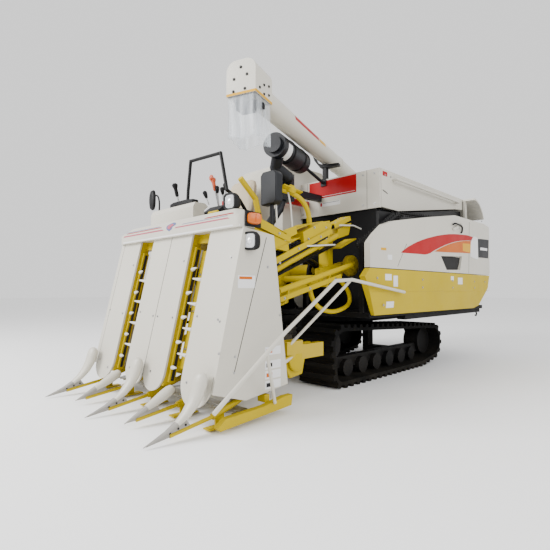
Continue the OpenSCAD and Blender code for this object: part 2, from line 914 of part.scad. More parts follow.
chop_x0 = -620;
chop_x1 = side_x - 110;
chop_y0 = house_y1;
chop_y1 = rear_y - 60;
chop_z0 = 760;
chop_z1 = 1480;
module straw_chopper()
{
    color(grey)
    {
        difference()
        {
            block([chop_x0, chop_y0 + 1, chop_z0], [chop_x1 - 60, chop_y1, chop_z1]);
            block([chop_x0 + 25, chop_y0 + 120, chop_z0 - 1], [chop_x1 - 85, chop_y1 + 1, chop_z1 - 30]);
        }
        for (y = [chop_y0 + 250])
            for (z = [chop_z0 + 260, chop_z0 + 440])
                translate([chop_x0 + 20, y + (z - chop_z0 - 260) * 0.3, z])
                    rotate([0, 90, 0])
                        cylinder(h = chop_x1 - 60 - chop_x0 - 40, d = 60);
        for (x = [rail_x, -rail_x])
            block([x - 20, chop_y0 + 20, floor_z], [x + 20, chop_y0 + 100, chop_z0 + 10]);
        for (z = [chop_z0 + 60, chop_z0 + 400])
            lug([chop_x0 + 30, chop_y1 + 14, z], [0, -15, 0], 30);
    }
}

module chopper_door()
{
    hx = chop_x0 + 30;
    hy = chop_y1 + 14;
    color(cream)
    {
        block([hx + 20, chop_y1 + 6, chop_z0 + 20], [chop_x1 - 70, chop_y1 + 26, chop_z1 - 10]);
        for (z = [chop_z0 + 60, chop_z0 + 400])
        {
            translate([hx, hy, z - 30])
                cylinder(h = 90, d = pin_d);
            block([hx - 4, hy - 7, z + 34], [hx + 21, hy + 7, z + 60]);
        }
        block([chop_x1 - 200, chop_y1 + 26 - eps, chop_z0 + 300], [chop_x1 - 170, chop_y1 + 50, chop_z0 + 440]);
    }
}

// Curved hood over the straw outlet
module straw_hood()
{
    c = [rear_y - 425, hood_z - 340];
    r = 335;
    outline = concat(arc_points(c, r, 90, 22, 12), arc_points(c, r - wall_t, 22, 90, 12));
    color(cream)
    {
        side_slab(outline, hood_x0, side_x - 60);
        side_slab(concat([c + [2, 0], c + [2, r - 20]], arc_points(c, r - 10, 88, 22, 10), [c + [r - 100, 0]]),
            hood_x0, hood_x0 + wall_t);
        block([hood_x0, chop_y0 + 1, chop_z1 + seat_gap], [chop_x1 - 60, chop_y0 + 60, hood_z - 340 + eps]);
        block([hood_x0, chop_y0 + 1, hood_z - 340], [hood_x0 + wall_t, chop_y0 + 60, hood_z - 20]);
        block([chop_x1 - 80, chop_y0 + 1, hood_z - 341], [chop_x1 - 60, chop_y0 + 60, hood_z - 20]);
    }
}

// ---- engine and operator's place -----------------------------------------

module engine()
{
    color(grey)
        block([-780, room_y0 + 80, floor_z], [-270, room_y1 - 60, 1180]);
}

// Shell over the engine, open below and on the right, where the screen door hangs
screen_hinge = [cab_x0 - 9, room_y1 - 8];
screen_lugs = [right_seam_z + 60, room_z - 130];
module engine_hood()
{
    color(cream)
    {
        difference()
        {
            block([cab_x0, room_y0, floor_z], [cab_x1, room_y1, room_z]);
            block([cab_x0 - 1, room_y0 + wall_t, floor_z - 1], [cab_x1 - wall_t, room_y1 - wall_t, room_z - wall_t]);
        }
        for (z = screen_lugs)
            lug([screen_hinge[0], screen_hinge[1], z], [10, 0, 0], 30);
    }
}

module radiator_door()
{
    x0 = cab_x0 - 8;
    z0 = right_seam_z + 10;
    color(black)
    {
        difference()
        {
            block([x0, room_y0 + wall_t + door_gap, z0], [x0 + 16, room_y1 - wall_t - door_gap, room_z - wall_t - door_gap]);
            for (i = [0 : 3])
                for (j = [0 : 3])
                    block([x0 - 1, room_y0 + 70 + i * 118, z0 + 40 + j * 108],
                        [x0 + 6, room_y0 + 160 + i * 118, z0 + 120 + j * 108]);
        }
        for (z = screen_lugs)
        {
            translate([screen_hinge[0], screen_hinge[1], z - 10])
                cylinder(h = 60, d = pin_d);
            block([screen_hinge[0] - 6, room_y1 - wall_t - door_gap - 14, z + 32], [x0 + 2, screen_hinge[1], z + 50]);
        }
    }
}

// Deck, its side plates and the step on the right
module operator_deck()
{
    color(grey)
    {
        block([cab_x0, cab_y0, deck_z - 40], [cab_x1, deck_y1, deck_z]);
        for (x = [cab_x0 + 60, cab_x1 - 60])
            side_slab(
                [[cab_y0 + 20, deck_z - 39], [cab_y0 + 20, deck_z - 130], [room_y0, frame_z], [room_y0, deck_z - 39]],
                x - 15, x + 15);
        block([cab_x0, cab_y0 + 60, 480], [cab_x0 + 30, cab_y0 + 100, deck_z - 30]);
        block([cab_x0, cab_y0 + 320, 480], [cab_x0 + 30, cab_y0 + 360, deck_z - 30]);
        block([cab_x0, cab_y0 + 60, 460], [cab_x0 + 160, cab_y0 + 360, 482]);
    }
}

console_top = 1500;
module front_console()
{
    color(cream)
    {
        side_slab(
            [[cab_y0, deck_z], [cab_y0 + 110, deck_z], [cab_y0 + 110, console_top - 60], [cab_y0 + 150, console_top - 25],
             [cab_y0 + 120, console_top], [cab_y0 + 20, console_top], [cab_y0, console_top - 40]],
            cab_x0 + 20, cab_x1 - 80);
    }
}

// Lever box on the left of the seat
lever_x0 = -330;
module lever_console()
{
    color(grey)
    {
        side_slab(
            [[deck_y1 - 250, deck_z], [deck_y1, deck_z], [deck_y1, room_z], [room_y0 + 240, room_z],
             [room_y0 + 240, 1480], [cab_y0 + 260, 1500], [cab_y0 + 180, 1440]],
            lever_x0, cab_x1 + 10);
    }
}

function lever_foot_z(y) = console_top - (y - cab_y0 - 260) * 0.054 + 1.9;
module levers()
{
    color(black)
    {
        for (p = [[-290, cab_y0 + 330, 60], [-240, cab_y0 + 380, 90], [-180, cab_y0 + 300, 30]])
        {
            bar([p[0], p[1], lever_foot_z(p[1])], [p[0] + 10, p[1] - 30, 1590 + p[2]], 12);
            translate([p[0] + 10, p[1] - 30, 1600 + p[2]])
                sphere(d = 42);
        }
        bar([-520, cab_y0 + 70, console_top + 2.3], [-520, cab_y0 + 40, console_top + 120], 16);
        bar([-520, cab_y0 + 40, console_top + 100], [-520, cab_y0 + 28, console_top + 190], 34);
    }
}

seat_x = -560;
seat_y = room_y0 + 230;
module seat_base()
{
    color(black)
        block([seat_x - 150, seat_y - 150, room_z], [seat_x + 150, seat_y + 170, room_z + 70]);
}

// Cushion and backrest
module seat()
{
    color([0.78, 0.72, 0.62])
    {
        block([seat_x - 220, seat_y - 210, room_z + 70 + seat_gap], [seat_x + 220, seat_y + 200, room_z + 165]);
        side_slab(
            [[seat_y + 130, room_z + 150], [seat_y + 215, room_z + 150], [seat_y + 290, room_z + 560],
             [seat_y + 205, room_z + 570]], seat_x - 210, seat_x + 210);
    }
}

// Black hoop in front of the operator
rail_y = pivot_y - 850;
module handrail()
{
    color(black)
    {
        tube_path(
            [[-440, rail_y, console_top + 1.4], [-430, rail_y, 1640], [-395, rail_y, 1890], [20, rail_y, 1870],
             [100, rail_y, 1560], [100, rail_y + 130, 1500], [60, rail_y + 260, 1400],
             [cab_x1 + 10, rail_y + 260, 1400]], 28);
    }
}

module mirror()
{
    y = rail_y - 60;
    color(black)
    {
        bar([cab_x0 + 60, cab_y0 + 60, console_top + seat_gap], [cab_x0 + 60, cab_y0 + 60, console_top + 80], 16);
        bar([cab_x0 + 60, cab_y0 + 60, console_top + 70], [-edge_x + 60, y, console_top + 100], 16);
        block([-edge_x, y - 20, console_top + 20], [-edge_x + 130, y + 20, console_top + 220]);
    }
}

module extinguisher()
{
    color([0.75, 0.10, 0.08])
    {
        translate([-60, pivot_y - 80, 1560])
            cylinder(h = 240, d = 85);
        translate([-60, pivot_y - 80, 1799])
            cylinder(h = 45, d = 30);
        block([-70, pivot_y - 60, 1600], [-50, front_wall_y, 1660]);
    }
}

// Air cleaner: a drum lying under the tube and in line with it, its stay, the duct down to the filter box,
// and the hose on to the engine hood
bowl_d = 200;
bowl_s0 = 2060;
bowl_l = 560;
// Beside the tube on its right, and low enough to clear it
bowl_u = -122;
bowl_h = -152;
duct_d = 100;
hose_d = 76;
filter_x = [-40, 180];
filter_y = [pivot_y - 330, pivot_y - 150];
filter_z = [1560, 1800];
module air_cleaner()
{
    front = on_aim(bowl_s0 + bowl_l - duct_d / 2 - 15, bowl_u, bowl_h - bowl_d * 0.4);
    back = on_aim(bowl_s0 + 70, bowl_u, bowl_h);
    low_y = pivot_y - 380;
    stay_z = hood_z - 35;
    color(black)
    {
        aimed()
            translate([bowl_s0, bowl_u, bowl_h])
                rotate([0, 90, 0])
                    cylinder(h = bowl_l, d = bowl_d);
        aimed()
            translate([bowl_s0 + bowl_l - eps, bowl_u, bowl_h])
                rotate([0, 90, 0])
                    cylinder(h = 30, d = bowl_d * 0.7);
        tube_path(
            [front, front + [-60, 40, -70], [filter_x[1] + 50, filter_y[0] + 40, filter_z[1] - 60],
             [filter_x[1] - 20, filter_y[0] + 90, filter_z[1] - 90]], duct_d);
        tube_path(
            [[filter_x[1] - 60, filter_y[0] + 90, filter_z[0] + 20], [130, filter_y[0] + 40, 1480],
             [120, low_y - 20, 1340], [60, low_y, 1270], [cab_x1 + 5.3, low_y, 1260]], hose_d);
        bar(back, [back[0], front_wall_y - 8, stay_z], 30);
        block([back[0] - 30, front_wall_y - 14, stay_z - 30], [back[0] + 30, front_wall_y, stay_z + 30]);
        block([filter_x[0], filter_y[0], filter_z[0]], [filter_x[1], filter_y[1], filter_z[1]]);
        block([60, filter_y[1] - 1, 1640], [110, front_wall_y, 1700]);
    }
}

// ---- header --------------------------------------------------------------

// The panels lie in one leaning plane: y = plane_y0 + plane_lean * z
plane_y0 = front_y + 328;
plane_lean = 0.2353;
function plane_y(z) = plane_y0 + plane_lean * z;
panel_low_z = 150;
panel_top_z = 1150;
row_half = gap_w / 2 + panel_w;
gap_x = [header_x - gap_w / 2 - 250, header_x + gap_w / 2 + 250];
cross_y = front_y + 785;
cross_z = 200;
cross_d = 110;
header_half = 745;
upright_pipe_d = 60;

module header_frame()
{
    color(yellow)
    {
        bar([header_x - header_half + 10, cross_y, cross_z], [header_x + header_half - 10, cross_y, cross_z], cross_d);
        bar([pipe_x, cross_y, cross_z], [pipe_x, pivot_y, pivot_z], main_pipe_d);
        translate([pivot_x0 + stand_play, pivot_y, pivot_z])
            rotate([0, 90, 0])
                cylinder(h = pivot_x1 - pivot_x0 - 2 * stand_play, d = 110);
        translate([pivot_x0 - stand_t, pivot_y, pivot_z])
            rotate([0, 90, 0])
                cylinder(h = pivot_x1 - pivot_x0 + 2 * stand_t, r = pivot_pin_r);
        for (x = [header_x - header_half + 40, header_x + header_half - 40])
            bar([x, cross_y, cross_z], [x, plane_y(panel_top_z) + 110, panel_top_z - 20], upright_pipe_d);
        for (s = [-1, 1])
            difference()
            {
                translate([pipe_x + s * 30 - 7, ram_eye_y - 40, ram_eye_z - 26])
                    cube([14, 80, 90]);
                translate([pipe_x + s * 30 - 20, ram_eye_y, ram_eye_z])
                    rotate([0, 90, 0])
                        cylinder(h = 40, r = 9);
            }
    }
}

// Lift ram of the header
ram_base_y = pivot_y - 190;
ram_base_z = 430;
ram_eye_y = pivot_y - 600;
ram_eye_z = 430;
lift_barrel_d = 70;
lift_v = [ram_eye_y - ram_base_y, ram_eye_z - ram_base_z];
lift_rest = norm(lift_v);
lift_tilt = atan2(lift_v[1], -lift_v[0]);
module lift_frame()
{
    translate([pipe_x, ram_base_y, ram_base_z])
        rotate([0, 0, -90])
            rotate([0, -lift_tilt, 0])
                children();
}

module header_ram_barrel()
{
    color(black)
        lift_frame()
            ram_barrel(lift_rest - 70, lift_barrel_d, 26);
}

module header_ram_rod()
{
    color(steel)
        lift_frame()
            ram_rod(80, lift_rest, lift_barrel_d, 22);
}

// A slab in the leaning plane, between heights z0 and z1 and depths d0 and d1 behind the plane
module leaning(x0, x1, z0, z1, d0, d1)
{
    side_slab([[plane_y(z0) + d0, z0], [plane_y(z0) + d1, z0], [plane_y(z1) + d1, z1], [plane_y(z1) + d0, z1]], x0, x1);
}

// Yellow cases behind the panels, one on each side of each gap
case_d = 70;
module row_cases()
{
    color(yellow)
    {
        for (x = gap_x)
            for (s = [-1, 1])
                leaning(min(x + s * (gap_w / 2 + 5), x + s * (gap_w / 2 + 130)),
                    max(x + s * (gap_w / 2 + 5), x + s * (gap_w / 2 + 130)),
                    panel_low_z + 30, panel_top_z, panel_t + seat_gap, panel_t + case_d);
        for (x = gap_x)
        {
            bar([x, cross_y - 2, cross_z + cross_d / 2], [x, plane_y(panel_top_z) + 110, panel_top_z - 20], 54);
            leaning(x - gap_w / 2 - 130, x + gap_w / 2 + 130, panel_top_z - 60, panel_top_z, case_d - 10, case_d + 70);
        }
    }
}

// The front panels: one double in the middle, one single at each side
module row_panels()
{
    color(cream)
    {
        for (s = [-1, 1])
        {
            panel_x = gap_x[s < 0 ? 0 : 1] + s * gap_w / 2;
            row_panel(panel_x, panel_x + s * panel_w);
        }
        row_panel(header_x - seat_gap / 2, gap_x[0] + gap_w / 2);
        row_panel(header_x + seat_gap / 2, gap_x[1] - gap_w / 2);
    }
}

module row_panel(xa, xb)
{
    x0 = min(xa, xb);
    x1 = max(xa, xb);
    intersection()
    {
        leaning(x0, x1, 0, panel_top_z, 0, panel_t);
        translate([0, rail_y, 0])
            rotate([90, 0, 0])
                linear_extrude(height = 1200)
                    polygon(concat([[x0, panel_top_z + 1], [x0, panel_low_z + 110]],
                        arc_points([(x0 + x1) / 2, panel_low_z + 110], (x1 - x0) / 2, 180, 360, 16),
                        [[x1, panel_low_z + 110], [x1, panel_top_z + 1]]));
    }
}

// Side panels close the header left and right
module side_panels()
{
    left_x = header_x + header_half;
    right_x = header_x - header_half;
    color(cream)
    {
        side_slab(
            [[plane_y(panel_top_z), panel_top_z], [cross_y + 66, panel_top_z - 30], [cross_y + 193, panel_low_z + 29],
             [cross_y - 166, 138], [plane_y(211), 211]], left_x + 2, left_x + 2 + panel_t);
        side_slab(
            [[plane_y(panel_top_z), panel_top_z], [cross_y - 60, panel_top_z - 20], [cross_y + 80, panel_low_z + 29],
             [cross_y - 166, 138], [plane_y(211), 211]], right_x - 2 - panel_t, right_x - 2);
        for (s = [-1, 1])
            leaning(min(header_x + s * (header_half - 5), header_x + s * (header_half + 3)),
                max(header_x + s * (header_half - 5), header_x + s * (header_half + 3)), 300, panel_top_z - 5, 0, 40);
    }
}

beam_half = 785;
beam_h = 125;
beam_low_z = panel_top_z + seat_gap;
module top_beam()
{
    color(cream)
    {
        hull()
        {
            for (s = [-1, 1])
            {
                translate([header_x + s * (beam_half - 70), plane_y(beam_low_z) + 20, beam_low_z])
                    cylinder(h = beam_h * 0.55, r = 46, $fn = hull_fn);
                translate([header_x + s * (beam_half - 160), plane_y(beam_low_z) + 70, beam_low_z + beam_h - 20])
                    cylinder(h = 20, r = 40, $fn = hull_fn);
                translate([header_x + s * (beam_half - 80), plane_y(beam_low_z) + 85, beam_low_z])
                    cylinder(h = 30, r = 40, $fn = hull_fn);
            }
        }
    }
}

// Divider horns: long at the sides and in the middle, short cones in the gaps
long_x = [header_x - 2 * row_pitch, header_x, header_x + 2 * row_pitch];
short_x = [header_x - row_pitch, header_x + row_pitch];
// Rings of a long horn: [y, z, half width, thickness]
horn_edge = 7;
horn = [[front_y, 14, 8], [front_y + 170, 62, 26], [front_y + 330, 170, 44],
        [plane_y(324) - 2 * horn_edge - seat_gap, 330, 30]];
module long_horn(x)
{
    for (i = [0 : len(horn) - 2])
        hull()
        {
            for (p = [horn[i], horn[i + 1]])
                for (s = [-1, 1])
                    translate([x + s * (p[2] - horn_edge), p[0] + horn_edge, p[1]])
                        cylinder(h = 12, r = horn_edge, $fn = 12, center = true);
        }
}

module short_horn(x)
{
    a = [x, front_y + 85, 40];
    b = [x, front_y + 400, 177];
    hull()
    {
        translate(a)
            sphere(r = 9, $fn = 16);
        translate(b)
            sphere(r = 42, $fn = 16);
    }
}

module divider_horns()
{
    color(cream)
    {
        for (x = long_x)
            long_horn(x);
        for (x = short_x)
            short_horn(x);
    }
}

// Yellow pipes from the cross pipe out to the horns, with steel shoes
module divider_pipes()
{
    color(yellow)
    {
        for (x = concat(long_x, short_x))
        {
            bar([x, cross_y - cross_d * 0.449, cross_z - cross_d / 4], [x, front_y + 420, 75], 38);
            bar([x, front_y + 422, 75], [x, front_y + 150, x == short_x[0] || x == short_x[1] ? 40.1 : 34.2], 22);
            block([x - 30, front_y + 380, 10], [x + 30, front_y + 560, 18]);
            block([x - 6, front_y + 440, 12], [x + 6, front_y + 500, 90]);
        }
        for (x = [header_x + header_half + 20])
            side_slab(
                [[front_y + 385, 40], [front_y + 400, 20], [cross_y + 180, 55], [cross_y + 190, 120],
                 [cross_y + 120, 120], [cross_y - 60, 92], [front_y + 440, 80]], x, x + 40);
        block([header_x + header_half - 40, cross_y - 20, 100], [header_x + header_half + 22, cross_y + 20, cross_z - cross_d / 2 - seat_gap]);
    }
}

// Knife bar between the outer dividers
knife_z = 66;
module cutter_bar()
{
    color(steel)
    {
        block([header_x - header_half + 20, cross_y - 190, knife_z], [header_x + header_half - 20, cross_y - 120, knife_z + 12]);
        for (x = [header_x - 500, header_x - 120, header_x + 120, header_x + 500])
        {
            block([x - 20, cross_y - 130, knife_z], [x + 20, cross_y + 12, knife_z + 12]);
            block([x - 20, cross_y - 12, knife_z], [x + 20, cross_y + 12, cross_z - cross_d / 2]);
        }
        for (i = [0 : 27])
            translate([header_x - header_half + 46 + i * 53, cross_y - 189, knife_z + 2])
                linear_extrude(height = 8)
                    polygon([[-22, 0], [22, 0], [0, -62]]);
    }
}

// Star wheels: eight fingers, in pairs in each gap, leaning with the panels
star_tilt = atan(plane_lean) + 12;
star_h = 26;
star_z = 262;
star_y = plane_y(star_z) + 175;
star_off = star_r + 8;
star_x = [gap_x[0] - star_off, gap_x[0] + star_off, gap_x[1] - star_off, gap_x[1] + star_off];
star_shaft_r = 10;
module star_wheel(i)
{
    color(black)
        translate([star_x[i], star_y, star_z])
            rotate([-star_tilt, 0, 0])
            {
                difference()
                {
                    linear_extrude(height = star_h)
                        polygon([for (k = [0 : 7]) for (p = [[star_r * 0.5, 0], [star_r, 12], [star_r * 0.94, 20]])
                            p[0] * unit(k * 45 + p[1])]);
                    translate([0, 0, -1])
                        cylinder(h = star_h + 2, r = star_shaft_r + pin_play);
                }
            }
}

// Conveyors: the star wheels' shafts and yoke, and the beams that carry the crop up to the feed chain
yoke_h = star_h + 36;
// Feed pipes on the left: the lower run, the upper arm, the post between them and the link to the main pipe
feed_d = 70;
feed_low = [500, pivot_y - 700, 730];
feed_back = [500, pivot_y + 60, 920];
arm_d = 60;
arm_low = [480, pivot_y - 720, 920];
arm_high = [480, pivot_y - 40, 1230];
post_y = pivot_y - 120;
post_half = 50;
shaft_d = 50;
cross_link_d = 40;
yoke_d = 30;
module conveyors()
{
    color(yellow)
    {
        for (x = gap_x)
            translate([x, star_y, star_z])
                rotate([-star_tilt, 0, 0])
                {
                    for (s = [-1, 1])
                    {
                        translate([s * star_off, 0, -30])
                            cylinder(h = yoke_h + 30, r = star_shaft_r);
                        translate([s * star_off, 0, star_h + 1])
                            cylinder(h = 22, r = 30);
                    }
                    bar([-star_off - 20, 0, yoke_h], [star_off + 20, 0, yoke_h], yoke_d);
                    bar([star_off, 0, yoke_h], [star_off, 60, yoke_h + 30], yoke_d);
                }
        for (x = gap_x)
            bar([x + star_off, star_y + 70, star_z + 60], feed_low + [0, 60, 5], shaft_d);
        bar(feed_low, feed_back, feed_d);
        bar(arm_low, arm_high, arm_d);
        block([arm_low[0] - post_half, post_y, 880], [arm_low[0] + post_half, post_y + 60, 1220]);
        bar([pipe_x + main_pipe_d / 2, post_y, 875], [feed_low[0], post_y, 875], arm_d);
        bar(arm_low + [0, 20, -5], [gap_x[1] + 60, plane_y(900) + 120, 760], cross_link_d);
    }
}

module upper_cover()
{
    front = plane_y(panel_top_z) + case_d + 70.8;
    color(yellow)
    {
        side_slab(
            [[front, panel_top_z + 40], [cross_y + 330, panel_top_z - 40], [cross_y + 340, panel_top_z - 110],
             [front, panel_top_z - 60]], 60, header_x + header_half - upright_pipe_d - 45);
        tube_path([[250, cross_y + 60, panel_top_z], [250, cross_y + 60, panel_top_z + 190], [160, cross_y + 60, panel_top_z + 190],
            [160, cross_y + 60, panel_top_z]], 26);
        tube_path([[500, cross_y + 300, panel_top_z - 60], [500, cross_y + 200, 1420], [500, cross_y + 60, 1540]], 40);
    }
}

// Bent guide rod on the left, with its stay and bracket
guide_d = 24;
module guide_rod()
{
    x = edge_x - guide_d * bend_ball / 2;
    skid_x = header_x + header_half + 60;
    color(cream)
    {
        tube_path(
            [[x, front_y + 255, 170], [x, front_y + 765, 530], [x, front_y + 1265, 840], [x, front_y + 1455, 850],
             [x, pivot_y + 300, 760]], guide_d);
        bar([skid_x + 10, cross_y + 20, 100], [x, front_y + 765 - 142, 430], 20);
        bar([720, pivot_y - 830, 390], [x - 20, pivot_y - 480, 820], 20);
        bar([x - 21, pivot_y - 481, 819], [x, pivot_y - 470, 846], 20);
        block([690, pivot_y - 700, 300], [740, pivot_y - 460, 400]);
        bar([header_x + header_half - 60, cross_y + 52, cross_z + 38], [715, pivot_y - 690, 360], 40);
        block([690, pivot_y - 850, 340], [740, pivot_y - 690, 430]);
    }
}

module work_lamps()
{
    side = header_x + header_half + 2 + panel_t;
    color(black)
    {
        block([side, plane_y(1070) + 20, 1010], [side + 44, plane_y(1070) + 110, 1120]);
        block([header_x + 511, plane_y(1290) + 10, beam_low_z + beam_h],
            [header_x + 611, plane_y(1290) + 80, beam_low_z + beam_h + 110]);
        block([side, plane_y(1200) + 70, 1090], [side + 14, plane_y(1200) + 100, 1180]);
        block([side - 1, plane_y(1200) + 58, 1172], [side + 46, plane_y(1200) + 125, 1242]);
    }
}

left_track();
right_track();
left_track_frame();
right_track_frame();
chassis();
gearbox();
left_lower_cover();
right_lower_cover();
side_cover();
side_cover_post();
threshing_housing();
threshing_drum();
hood();
hood_lid();
lid_rail();
feed_rail();
feed_chain();
grain_tank();
upright_auger();
auger_elbow();
auger_tube();
auger_spout();
spout_curtain();
auger_ram_barrel();
auger_ram_rod();
auger_cradle();
straw_chopper();
chopper_door();
straw_hood();
engine();
engine_hood();
radiator_door();
operator_deck();
front_console();
lever_console();
levers();
seat_base();
seat();
handrail();
mirror();
extinguisher();
air_cleaner();
header_frame();
row_cases();
row_panels();
side_panels();
top_beam();
divider_horns();
divider_pipes();
cutter_bar();
conveyors();
upper_cover();
guide_rod();
work_lamps();
star_wheel(0);  // star_wheel_1
star_wheel(1);  // star_wheel_2
star_wheel(2);  // star_wheel_3
star_wheel(3);  // star_wheel_4
header_ram_barrel();
header_ram_rod();
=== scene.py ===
# %% [markdown]
# # A combine harvester on rubber tracks
# The CAD model is loaded as a fixed frame: every node is in metres, stands where it belongs and
# rides on its own moving body. This script gives those nodes their finishes and adds the parts
# that are too small for CAD: bolts, tines, chain links, decals, lamps, thin pipes and the seat.

# %% Load the frame
import json
import math

import bmesh
import bpy
from mathutils import Matrix, Vector
from mathutils.bvhtree import BVHTree


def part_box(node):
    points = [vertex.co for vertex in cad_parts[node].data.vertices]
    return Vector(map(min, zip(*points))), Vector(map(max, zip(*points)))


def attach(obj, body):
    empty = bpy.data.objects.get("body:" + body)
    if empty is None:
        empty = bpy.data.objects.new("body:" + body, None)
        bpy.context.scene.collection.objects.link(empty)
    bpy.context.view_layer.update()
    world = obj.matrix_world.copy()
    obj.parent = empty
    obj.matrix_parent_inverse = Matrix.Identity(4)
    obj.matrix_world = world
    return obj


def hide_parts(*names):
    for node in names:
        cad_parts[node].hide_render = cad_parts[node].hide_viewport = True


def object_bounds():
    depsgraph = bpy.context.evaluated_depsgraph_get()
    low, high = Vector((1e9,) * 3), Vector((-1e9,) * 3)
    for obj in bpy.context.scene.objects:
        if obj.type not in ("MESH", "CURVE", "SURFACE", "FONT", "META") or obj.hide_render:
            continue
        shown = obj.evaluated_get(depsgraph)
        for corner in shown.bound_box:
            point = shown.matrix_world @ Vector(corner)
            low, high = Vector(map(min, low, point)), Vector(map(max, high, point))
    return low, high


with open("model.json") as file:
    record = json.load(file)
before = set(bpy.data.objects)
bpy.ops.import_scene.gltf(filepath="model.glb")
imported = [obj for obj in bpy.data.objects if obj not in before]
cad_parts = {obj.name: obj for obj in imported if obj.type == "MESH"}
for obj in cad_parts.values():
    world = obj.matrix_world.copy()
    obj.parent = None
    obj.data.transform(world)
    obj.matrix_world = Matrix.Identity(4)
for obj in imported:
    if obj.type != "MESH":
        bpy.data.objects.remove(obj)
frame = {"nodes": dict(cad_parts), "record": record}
node = frame["nodes"]
cad_box = [list(corner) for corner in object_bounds()]
body_of = {n: b for b, members in frame["record"]["behaviour"]["bodies"].items() for n in members}
slot_of = {s["node"]: s["material_slot"] for s in frame["record"]["subparts"]}
print("loaded", len(node), "nodes, box", [[round(v, 3) for v in c] for c in cad_box])

# %% [markdown]
# ## Camera
# A short lens close to the machine makes the header loom and the tail shrink, as it does when a
# person stands a few steps away. The camera is turned to look along a heading and a small climb.

# %% Camera
heading, climb, lens = math.radians(44.4), math.radians(1.925), 27.9
camera_data = bpy.data.cameras.new("camera")
camera_data.lens, camera_data.sensor_width = lens, 36
camera = bpy.data.objects.new("camera", camera_data)
bpy.context.scene.collection.objects.link(camera)
look = Vector((-math.sin(heading) * math.cos(climb), math.cos(heading) * math.cos(climb), math.sin(climb)))
camera.location = (2.682, -3.31, 0.783)
camera.rotation_mode = "QUATERNION"
camera.rotation_quaternion = look.to_track_quat("-Z", "Y")
bpy.context.scene.camera = camera
print("camera at", tuple(round(v, 3) for v in camera.location))

# %% [markdown]
# ## Making meshes
# Most parts are a few simple shapes joined under one finish. A small maker gathers the corners
# and faces of boxes, prisms, tubes and turned shapes, and turns them into one mesh at the end.
# Sharp edges are marked by angle, and an optional bevel rounds the ones that catch light.

# %% The maker
finishes = {}
made = []


def smooth_path(points, steps=6):
    """Catmull-Rom points through the given ones."""
    pts = [Vector(p) for p in points]
    out = []
    for i in range(len(pts) - 1):
        a, b, c, d = pts[max(i - 1, 0)], pts[i], pts[i + 1], pts[min(i + 2, len(pts) - 1)]
        for k in range(steps):
            t = k / steps
            out.append(0.5 * ((2 * b) + (c - a) * t + (2 * a - 5 * b + 4 * c - d) * t * t
                              + (3 * b - a - 3 * c + d) * t ** 3))
    return out + [pts[-1]]


class Maker:
    """Gathers simple closed shapes that share a finish and a body."""

    def __init__(self):
        self.verts, self.faces = [], []

    def add(self, verts, faces):
        start = len(self.verts)
        self.verts += [Vector(v) for v in verts]
        self.faces += [[start + i for i in f] for f in faces]
        return self

    def prism(self, outline, push):
        n, push = len(outline), Vector(push)
        low = [Vector(p) for p in outline]
        sides = [[i, (i + 1) % n, n + (i + 1) % n, n + i] for i in range(n)]
        return self.add(low + [p + push for p in low],
                        [list(range(n))[::-1], list(range(n, 2 * n))] + sides)

    def box(self, low, high):
        (a, b, c), (d, e, f) = low, high
        return self.prism([(a, b, c), (d, b, c), (d, e, c), (a, e, c)], (0, 0, f - c))

    def tube(self, points, radius, sides=12, closed=False):
        pts = [Vector(p) for p in points]
        n = len(pts)
        radii = radius if isinstance(radius, (list, tuple)) else [radius] * n
        side = None
        rings = []
        for i, p in enumerate(pts):
            ahead = pts[(i + 1) % n] if closed or i < n - 1 else p
            behind = pts[i - 1] if closed or i > 0 else p
            t = (ahead - behind).normalized()
            if side is None:
                side = t.orthogonal().normalized()
            side = (side - t * side.dot(t)).normalized()
            up = t.cross(side)
            rings.append([p + radii[i] * (side * math.cos(a) + up * math.sin(a))
                          for a in (2 * math.pi * k / sides for k in range(sides))])
        faces = []
        for i in range(n if closed else n - 1):
            j = (i + 1) % n
            faces += [[i * sides + k, i * sides + (k + 1) % sides, j * sides + (k + 1) % sides,
                       j * sides + k]
                      for k in range(sides)]
        if not closed:
            faces += [list(range(sides))[::-1], list(range((n - 1) * sides, n * sides))]
        return self.add([v for ring in rings for v in ring], faces)

    def turned(self, profile, centre, axis, sides=24):
        """A closed turned shape: (radius, height) pairs along the axis."""
        axis, centre = Vector(axis).normalized(), Vector(centre)
        points = [centre + axis * h for _, h in profile]
        side = axis.orthogonal().normalized()
        up = axis.cross(side)
        rings = [[c + max(r, 1e-4) * (side * math.cos(a) + up * math.sin(a))
                  for a in (2 * math.pi * k / sides for k in range(sides))]
                 for c, (r, _) in zip(points, profile)]
        n = len(profile)
        faces = [[i * sides + k, i * sides + (k + 1) % sides, (i + 1) * sides + (k + 1) % sides,
                  (i + 1) * sides + k]
                 for i in range(n - 1) for k in range(sides)]
        faces += [list(range(sides))[::-1], list(range((n - 1) * sides, n * sides))]
        return self.add([v for ring in rings for v in ring], faces)

    def make(self, name, finish, body, bevel=0.0, slot=None):
        mesh = bpy.data.meshes.new(name)
        mesh.from_pydata([tuple(v) for v in self.verts], [], self.faces)
        shape = bmesh.new()
        shape.from_mesh(mesh)
        bmesh.ops.recalc_face_normals(shape, faces=shape.faces)
        for face in shape.faces:
            face.smooth = True
        for edge in shape.edges:
            edge.smooth = len(edge.link_faces) == 2 and edge.calc_face_angle(0) < math.radians(38)
        shape.to_mesh(mesh)
        shape.free()
        piece = bpy.data.objects.new(name, mesh)
        bpy.context.scene.collection.objects.link(piece)
        mesh.materials.append(finishes[finish])
        if bevel:
            rounding = piece.modifiers.new("rounding", "BEVEL")
            rounding.width, rounding.segments, rounding.limit_method = bevel, 2, "ANGLE"
            rounding.angle_limit = math.radians(40)
        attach(piece, body)
        made.append(piece)
        print("made", name, len(mesh.polygons), "faces on", body)
        return piece


